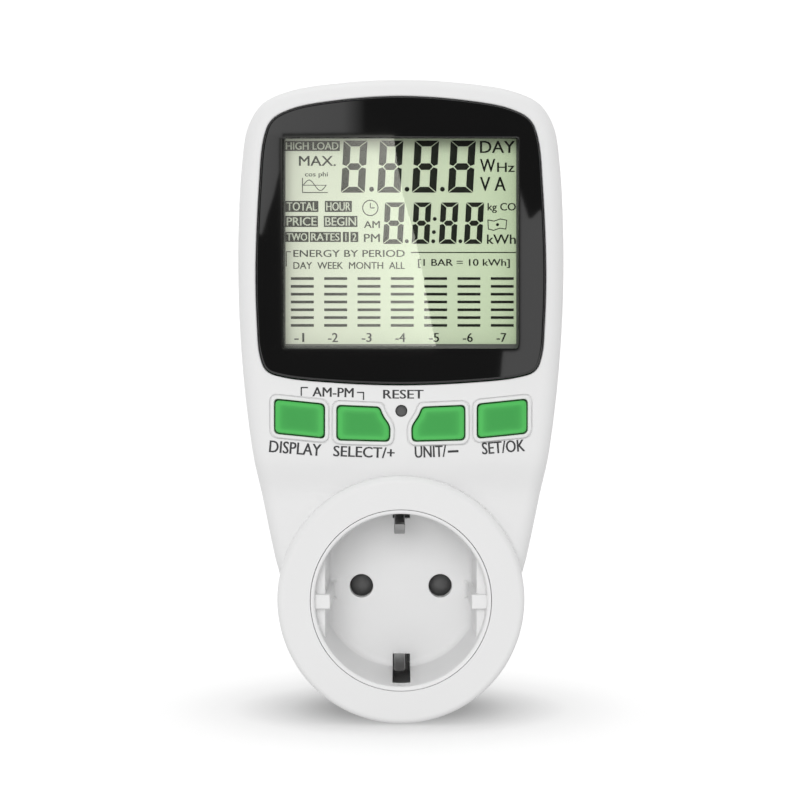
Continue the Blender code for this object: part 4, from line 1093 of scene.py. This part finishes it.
def metal(name, colour, roughness):
    """Drawn or stamped metal: streaks along the strip and slow staining."""
    look = Look(name)
    drawn = look.add("ShaderNodeMapping", {"Vector": look.place, "Scale": (1.0, 30.0, 1.0)})
    streak = look.noise(900.0, 4.0, drawn.outputs["Vector"])
    look.tint(look.noise(150.0, 3.0), spread(colour, 0.85), spread(colour, 1.1))
    look.gloss(streak, roughness * 0.7, roughness * 1.4)
    look.bump(streak, 0.15, 0.02 * MM)
    return look.set({"Metallic": 1.0})


def key_look_with_painted_edge_light(name):
    """Soft green key cap, painted a lighter green towards its edges as painted light, in place of light
    shining through the thin plastic.
    """
    look = moulded(name, (0.040, 0.348, 0.064), 0.42, 0.04, 0.2).set({"Specular IOR Level": 0.4})
    # Painted light: the rim attribute mixes a lighter green in at the cap's sides and edges
    rim = look.add("ShaderNodeAttribute", attribute_name="rim")
    return look.tint_over(rim.outputs["Fac"], (0.074, 0.50, 0.100))


def film_look_with_painted_light(name):
    """Reflective display film with painted light: paler towards its left-hand side, a deeper green towards
    its right.
    """
    look = moulded(name, (0.89, 0.95, 0.76), 0.5, 0.02, 0.12, 0.01)
    # Painted light: the colour runs from the paler left-hand side to the deeper green right-hand side
    x = look.add("ShaderNodeSeparateXYZ", {"Vector": look.place}).outputs["X"]
    across = look.ramp(x, From_Min=-FILM_X * MM, From_Max=FILM_X * MM)
    return look.tint_over(across, (0.77, 0.94, 0.61))


def pane_look(name):
    """Clear acrylic with a faint smear."""
    look = Look(name)
    look.gloss(look.noise(90.0, 5.0), 0.0, 0.02)
    return look.set({"IOR": 1.49, "Transmission Weight": 1.0})


def board_look(name):
    """Green board with a faint pattern of tracks."""
    look = moulded(name, (0.03, 0.20, 0.08), 0.45, 0.05, 0.4)
    cells = {"Vector": look.place, "Scale": 420.0}
    tracks = look.add("ShaderNodeTexVoronoi", cells, distance="MANHATTAN", feature="F1")
    lines = look.ramp(tracks.outputs["Distance"], From_Min=0.3, From_Max=0.36)
    return look.tint_over(lines, (0.05, 0.28, 0.10))


# Colour and roughness, then the grain's strength, its size in millimetres and the variation of colour
MOULDINGS = {
    "housing_white": ((0.80, 0.80, 0.80), 0.36, 0.03, 0.3, 0.012),
    "socket_white": ((0.82, 0.82, 0.82), 0.40, 0.03, 0.3, 0.012),
    "bezel_black": ((0.008, 0.008, 0.008), 0.03, 0.0, 0.3, 0.1),
    "lcd_glass": ((0.16, 0.17, 0.15), 0.3, 0.02, 0.3),
    "lcd_dark": ((0.010, 0.014, 0.006), 0.5, 0.02, 0.1),
    "lcd_light": ((0.70, 0.76, 0.60), 0.5, 0.02, 0.1),
    "dark_plastic": ((0.085, 0.085, 0.085), 0.42, 0.05, 0.2),
    "label_ink": ((0.035, 0.035, 0.038), 0.5, 0.05, 0.1),
    "silicone": ((0.55, 0.55, 0.52), 0.7, 0.1, 0.3),
    "carrier_grey": ((0.35, 0.35, 0.36), 0.55, 0.08, 0.3),
    "capacitor_box": ((0.55, 0.50, 0.10), 0.5, 0.08, 0.4),
    "sleeve": ((0.02, 0.03, 0.08), 0.35, 0.05, 0.5),
    "battery_wrap": ((0.08, 0.30, 0.10), 0.4, 0.05, 0.5),
    "chip_black": ((0.02, 0.02, 0.02), 0.5, 0.15, 0.2),
    "varistor_blue": ((0.05, 0.12, 0.45), 0.5, 0.15, 0.5),
    "fuse_glass": ((0.7, 0.75, 0.75), 0.12, 0.0, 0.5),
    "wire_brown": ((0.16, 0.06, 0.03), 0.45, 0.06, 0.4),
    "wire_blue": ((0.04, 0.12, 0.45), 0.45, 0.06, 0.4),
    "plate_silver": ((0.66, 0.67, 0.68), 0.30, 0.10, 0.12, 0.03),
}
METALS = {
    "steel": ((0.62, 0.62, 0.60), 0.32),
    "nickel": ((0.72, 0.70, 0.66), 0.24),
    "clip_steel": ((0.38, 0.38, 0.38), 0.5),
    "brass": ((0.78, 0.60, 0.30), 0.32),
}
SPECIAL = {
    "clear_pane": pane_look, "lcd_film": film_look_with_painted_light, "key_green": key_look_with_painted_edge_light, "board_green": board_look,
}


def make_looks():
    made = {name: moulded(name, *values) for name, values in MOULDINGS.items()}
    made.update({name: metal(name, *values) for name, values in METALS.items()})
    made.update({name: maker(name) for name, maker in SPECIAL.items()})
    return {name: look.made for name, look in made.items()}


LOOKS = make_looks()


def dress_cad_nodes():
    """Give each CAD node that stays in view the look of its material slot."""
    for part in frame["record"]["subparts"]:
        item = frame["nodes"][part["node"]]
        item.data.materials.clear()
        item.data.materials.append(LOOKS[part["material_slot"]])


# ---------------------------------------------------------------- stage

WHITE = (1.0, 1.0, 1.0, 1.0)
WALL_Y = 2.6
RISE = 1.6
CAMERA_AT = (-0.0002, -0.278, 0.0448)
CAMERA_LENS = 44.34
LIT_POINT = (0.0, -0.03, 0.04)
CARD_Y = -0.9
# Painted shade on the floor: its glow is none within an oval round the object's foot and rises to full away
# from it
PAINTED_SHADE_CENTRE_Y = -0.045
PAINTED_SHADE_REACH = (0.09, 0.047)
PAINTED_SHADE_GLOW_STEPS = [(0.085, 0.0), (0.15, 0.25), (0.22, 0.45), (0.30, 0.53), (0.45, 0.60), (1.0, 0.75)]


def backdrop():
    """Pale floor with a tall rise behind it, which glow enough to stay white behind the object; the glow
    fades out in an oval round the object's foot, painted shade that deepens the real cast shadow there.
    """
    floor_z = CAD_BOX[0].z
    profile = [(-3.0, floor_z), (0.3, floor_z), (WALL_Y - RISE - 0.1, floor_z)]
    profile += sorted((WALL_Y - RISE * s, floor_z + RISE * (1.0 - c)) for s, c in quarter(40))
    profile.append((WALL_Y, 4.5))
    bm = bmesh.new()
    rows = [[bm.verts.new((x, y, z)) for x in (-5.0, 5.0)] for y, z in profile]
    for first, second in zip(rows, rows[1:]):
        bm.faces.new((first[0], first[1], second[1], second[0]))
    item = to_object("backdrop", bm)
    item.data.shade_smooth()
    paper = Look("backdrop_paper")
    paper.set({"Base Color": (0.70, 0.70, 0.70, 1.0), "Roughness": 0.9, "Specular IOR Level": 0.0,
               "Emission Color": WHITE})
    # Painted shade: the glow is least at the object's foot and grows with distance across the oval
    shade_reach_x, shade_reach_y = PAINTED_SHADE_REACH
    around = {"Vector": paper.place, "Location": (0.0, -PAINTED_SHADE_CENTRE_Y / shade_reach_y, -floor_z),
              "Scale": (1.0 / shade_reach_x, 1.0 / shade_reach_y, 1.0)}
    painted_shade_place = paper.add("ShaderNodeMapping", around).outputs["Vector"]
    painted_shade_distance = paper.add("ShaderNodeVectorMath", {0: painted_shade_place}, operation="LENGTH").outputs["Value"]
    half = paper.add("ShaderNodeMath", {0: painted_shade_distance, 1: 0.5}, operation="MULTIPLY").outputs["Value"]
    glow = paper.add("ShaderNodeValToRGB", {"Fac": half})
    steps = glow.color_ramp.elements
    steps[1].position = PAINTED_SHADE_GLOW_STEPS[-1][0]
    for position in [at for at, level in PAINTED_SHADE_GLOW_STEPS[1:-1]]:
        steps.new(position)
    steps[0].position = PAINTED_SHADE_GLOW_STEPS[0][0]
    for step, (at, level) in zip(steps, PAINTED_SHADE_GLOW_STEPS):
        step.color = (level, level, level, 1.0)
    paper.feed("Emission Strength", glow.outputs["Color"])
    item.data.materials.append(paper.made)
    item.visible_diffuse = False
    return item


def keep_off(light, item):
    """Stop a light from falling on one item of the stage."""
    group = bpy.data.collections.new(light.name + "_receivers")
    group.objects.link(item)
    group.collection_objects[0].light_linking.link_state = "EXCLUDE"
    light.light_linking.receiver_collection = group


def area_light(name, at, size, power):
    """A square softbox that faces the object."""
    data = bpy.data.lights.new(name, "AREA")
    data.shape = "RECTANGLE"
    data.size = data.size_y = size
    data.energy = power
    item = bpy.data.objects.new(name, data)
    bpy.context.scene.collection.objects.link(item)
    item.location = at
    item.rotation_euler = (Vector(LIT_POINT) - Vector(at)).to_track_quat("-Z", "Y").to_euler()
    item.visible_glossy = False
    item.visible_transmission = False
    return item


def world_light(strength):
    world = bpy.data.worlds.new("studio")
    world.use_nodes = True
    tree = world.node_tree
    tree.nodes["Background"].inputs["Color"].default_value = WHITE
    seen = add_node(tree, "ShaderNodeLightPath").outputs["Is Camera Ray"]
    level = add_node(tree, "ShaderNodeMapRange", {"Value": seen, "To Min": strength, "To Max": 1.0})
    tree.links.new(level.outputs["Result"], tree.nodes["Background"].inputs["Strength"])
    bpy.context.scene.world = world


def camera():
    data = bpy.data.cameras.new("camera")
    data.lens = CAMERA_LENS
    data.clip_start = 0.01
    item = bpy.data.objects.new("camera", data)
    bpy.context.scene.collection.objects.link(item)
    item.location = CAMERA_AT
    item.rotation_euler = (math.radians(90.0), 0.0, 0.0)
    bpy.context.scene.camera = item


def card_material(name, tint=WHITE):
    """Light whose strength is stored on the card's corners."""
    made = bpy.data.materials.new(name)
    made.use_nodes = True
    tree = made.node_tree
    tree.nodes.clear()
    level = add_node(tree, "ShaderNodeAttribute", attribute_name="glow")
    glow = add_node(tree, "ShaderNodeEmission", {"Color": tint, "Strength": level.outputs["Fac"]})
    out = add_node(tree, "ShaderNodeOutputMaterial")
    tree.links.new(glow.outputs["Emission"], out.inputs["Surface"])
    return made


def card(name, rows, y, look):
    """A glowing sheet that only glossy surfaces see; each row holds (x, z, strength) points."""
    bm = bmesh.new()
    level = bm.verts.layers.float.new("glow")
    made = [[bm.verts.new((point[0], y, point[1])) for point in row] for row in rows]
    for line, row in zip(made, rows):
        for vertex, point in zip(line, row):
            vertex[level] = point[2]
    for first, second in zip(made, made[1:]):
        for i in range(len(first) - 1):
            bm.faces.new((first[i], first[i + 1], second[i + 1], second[i]))
    item = to_object(name, bm)
    item.data.materials.append(look)
    item.visible_camera = False
    item.visible_diffuse = False
    item.visible_shadow = False


def mirrored_card(name, surface_y, rows, look):
    """A card whose reflection in a pane at surface_y lies at the (x, z) places given, in millimetres."""
    eye = Vector(CAMERA_AT) / MM
    factor = (surface_y - CARD_Y / MM) / (surface_y - eye.y)
    placed = []
    for row in rows:
        placed.append([((x + (x - eye.x) * factor) * MM, (z + (z - eye.z) * factor) * MM, strength)
                       for x, z, strength in row])
    card(name, placed, CARD_Y, look)


def reflections():
    """What the glossy window mirrors: a dark room with two soft windows and one sharp one."""
    look = card_material("card_glow")
    dark = [[(-3.0, z, 0.0), (3.0, z, 0.0)] for z in (-0.5, 3.0)]
    card("front_flag", dark, -1.2, look)
    pane_y = pane_face_y()
    frame_y = node_box("window_bezel")[0].y
    edge = [(-1.6, 103.9), (0.3, 91.8), (2.3, 84.6), (4.0, 77.8), (6.2, 65.5), (7.9, 56.9)]
    edge_line = smooth_path([(-2.0, 107.5)] + edge + [(8.6, 53.0)], 4)
    glare = [[(-26.2, z, 1.1), (-14.0, z, 1.8), (x - 6.0, z, 2.9), (x, z, 3.4)] for x, z in edge_line]
    mirrored_card("glare_card", pane_y, glare, card_material("glare_glow", (1.0, 1.0, 0.9, 1.0)))
    left = []
    for z, inner in ((114.0, -8.0), (104.6, -8.0), (104.4, -26.6), (96.0, -26.6), (91.0, -28.0),
                     (86.0, -30.0), (82.0, -31.2)):
        fade = 5.0 if z > 104.5 else 0.2
        left.append([(-34.0, z, 1.7), (inner - fade, z, 1.4), (inner, z, 0.0 if z > 104.5 else 1.2)])
    mirrored_card("left_window_card", frame_y, left, look)
    right = {
        "right_window_card": [[(26.6, 85.6), (35.0, 85.6)], [(26.6, 56.0), (35.0, 56.0)],
                              [(22.9, 55.9), (35.0, 55.9)], [(22.2, 48.0), (35.0, 48.0)]],
        "right_tongue_card": [[(26.6, 92.4), (26.9, 90.5)], [(26.6, 85.6), (28.6, 85.6)]],
        "right_edge_card": [[(31.0, 87.2), (35.0, 88.6)], [(29.4, 85.6), (35.0, 85.6)]],
    }
    for name, rows in right.items():
        mirrored_card(name, frame_y, [[(x, z, 1.5) for x, z in row] for row in rows], look)


# ---------------------------------------------------------------- everything

dress_cad_nodes()
for make in (front_cover, rear_cover, socket_cup, socket_earth, pin_shutter, plug_pins, plug_earth,
             window_bezel, window_pane, lcd_parts, lcd_marks):
    make()
for key_index in range(4):
    key_cap(key_index)
for make in (reset_button, printed_labels, cover_screws, rating_plate):
    make()

bpy.context.scene.view_settings.view_transform = "Standard"
floor = backdrop()
world_light(0.6)
area_light("top_softbox", (0.0, -0.03, 0.9), 0.6, 0.9)
keep_off(area_light("front_softbox", (-0.15, -1.1, 0.42), 0.7, 5.9), floor)
keep_off(area_light("back_softbox", (0.4, 1.2, 0.7), 0.8, 4.0), floor)
reflections()
camera()
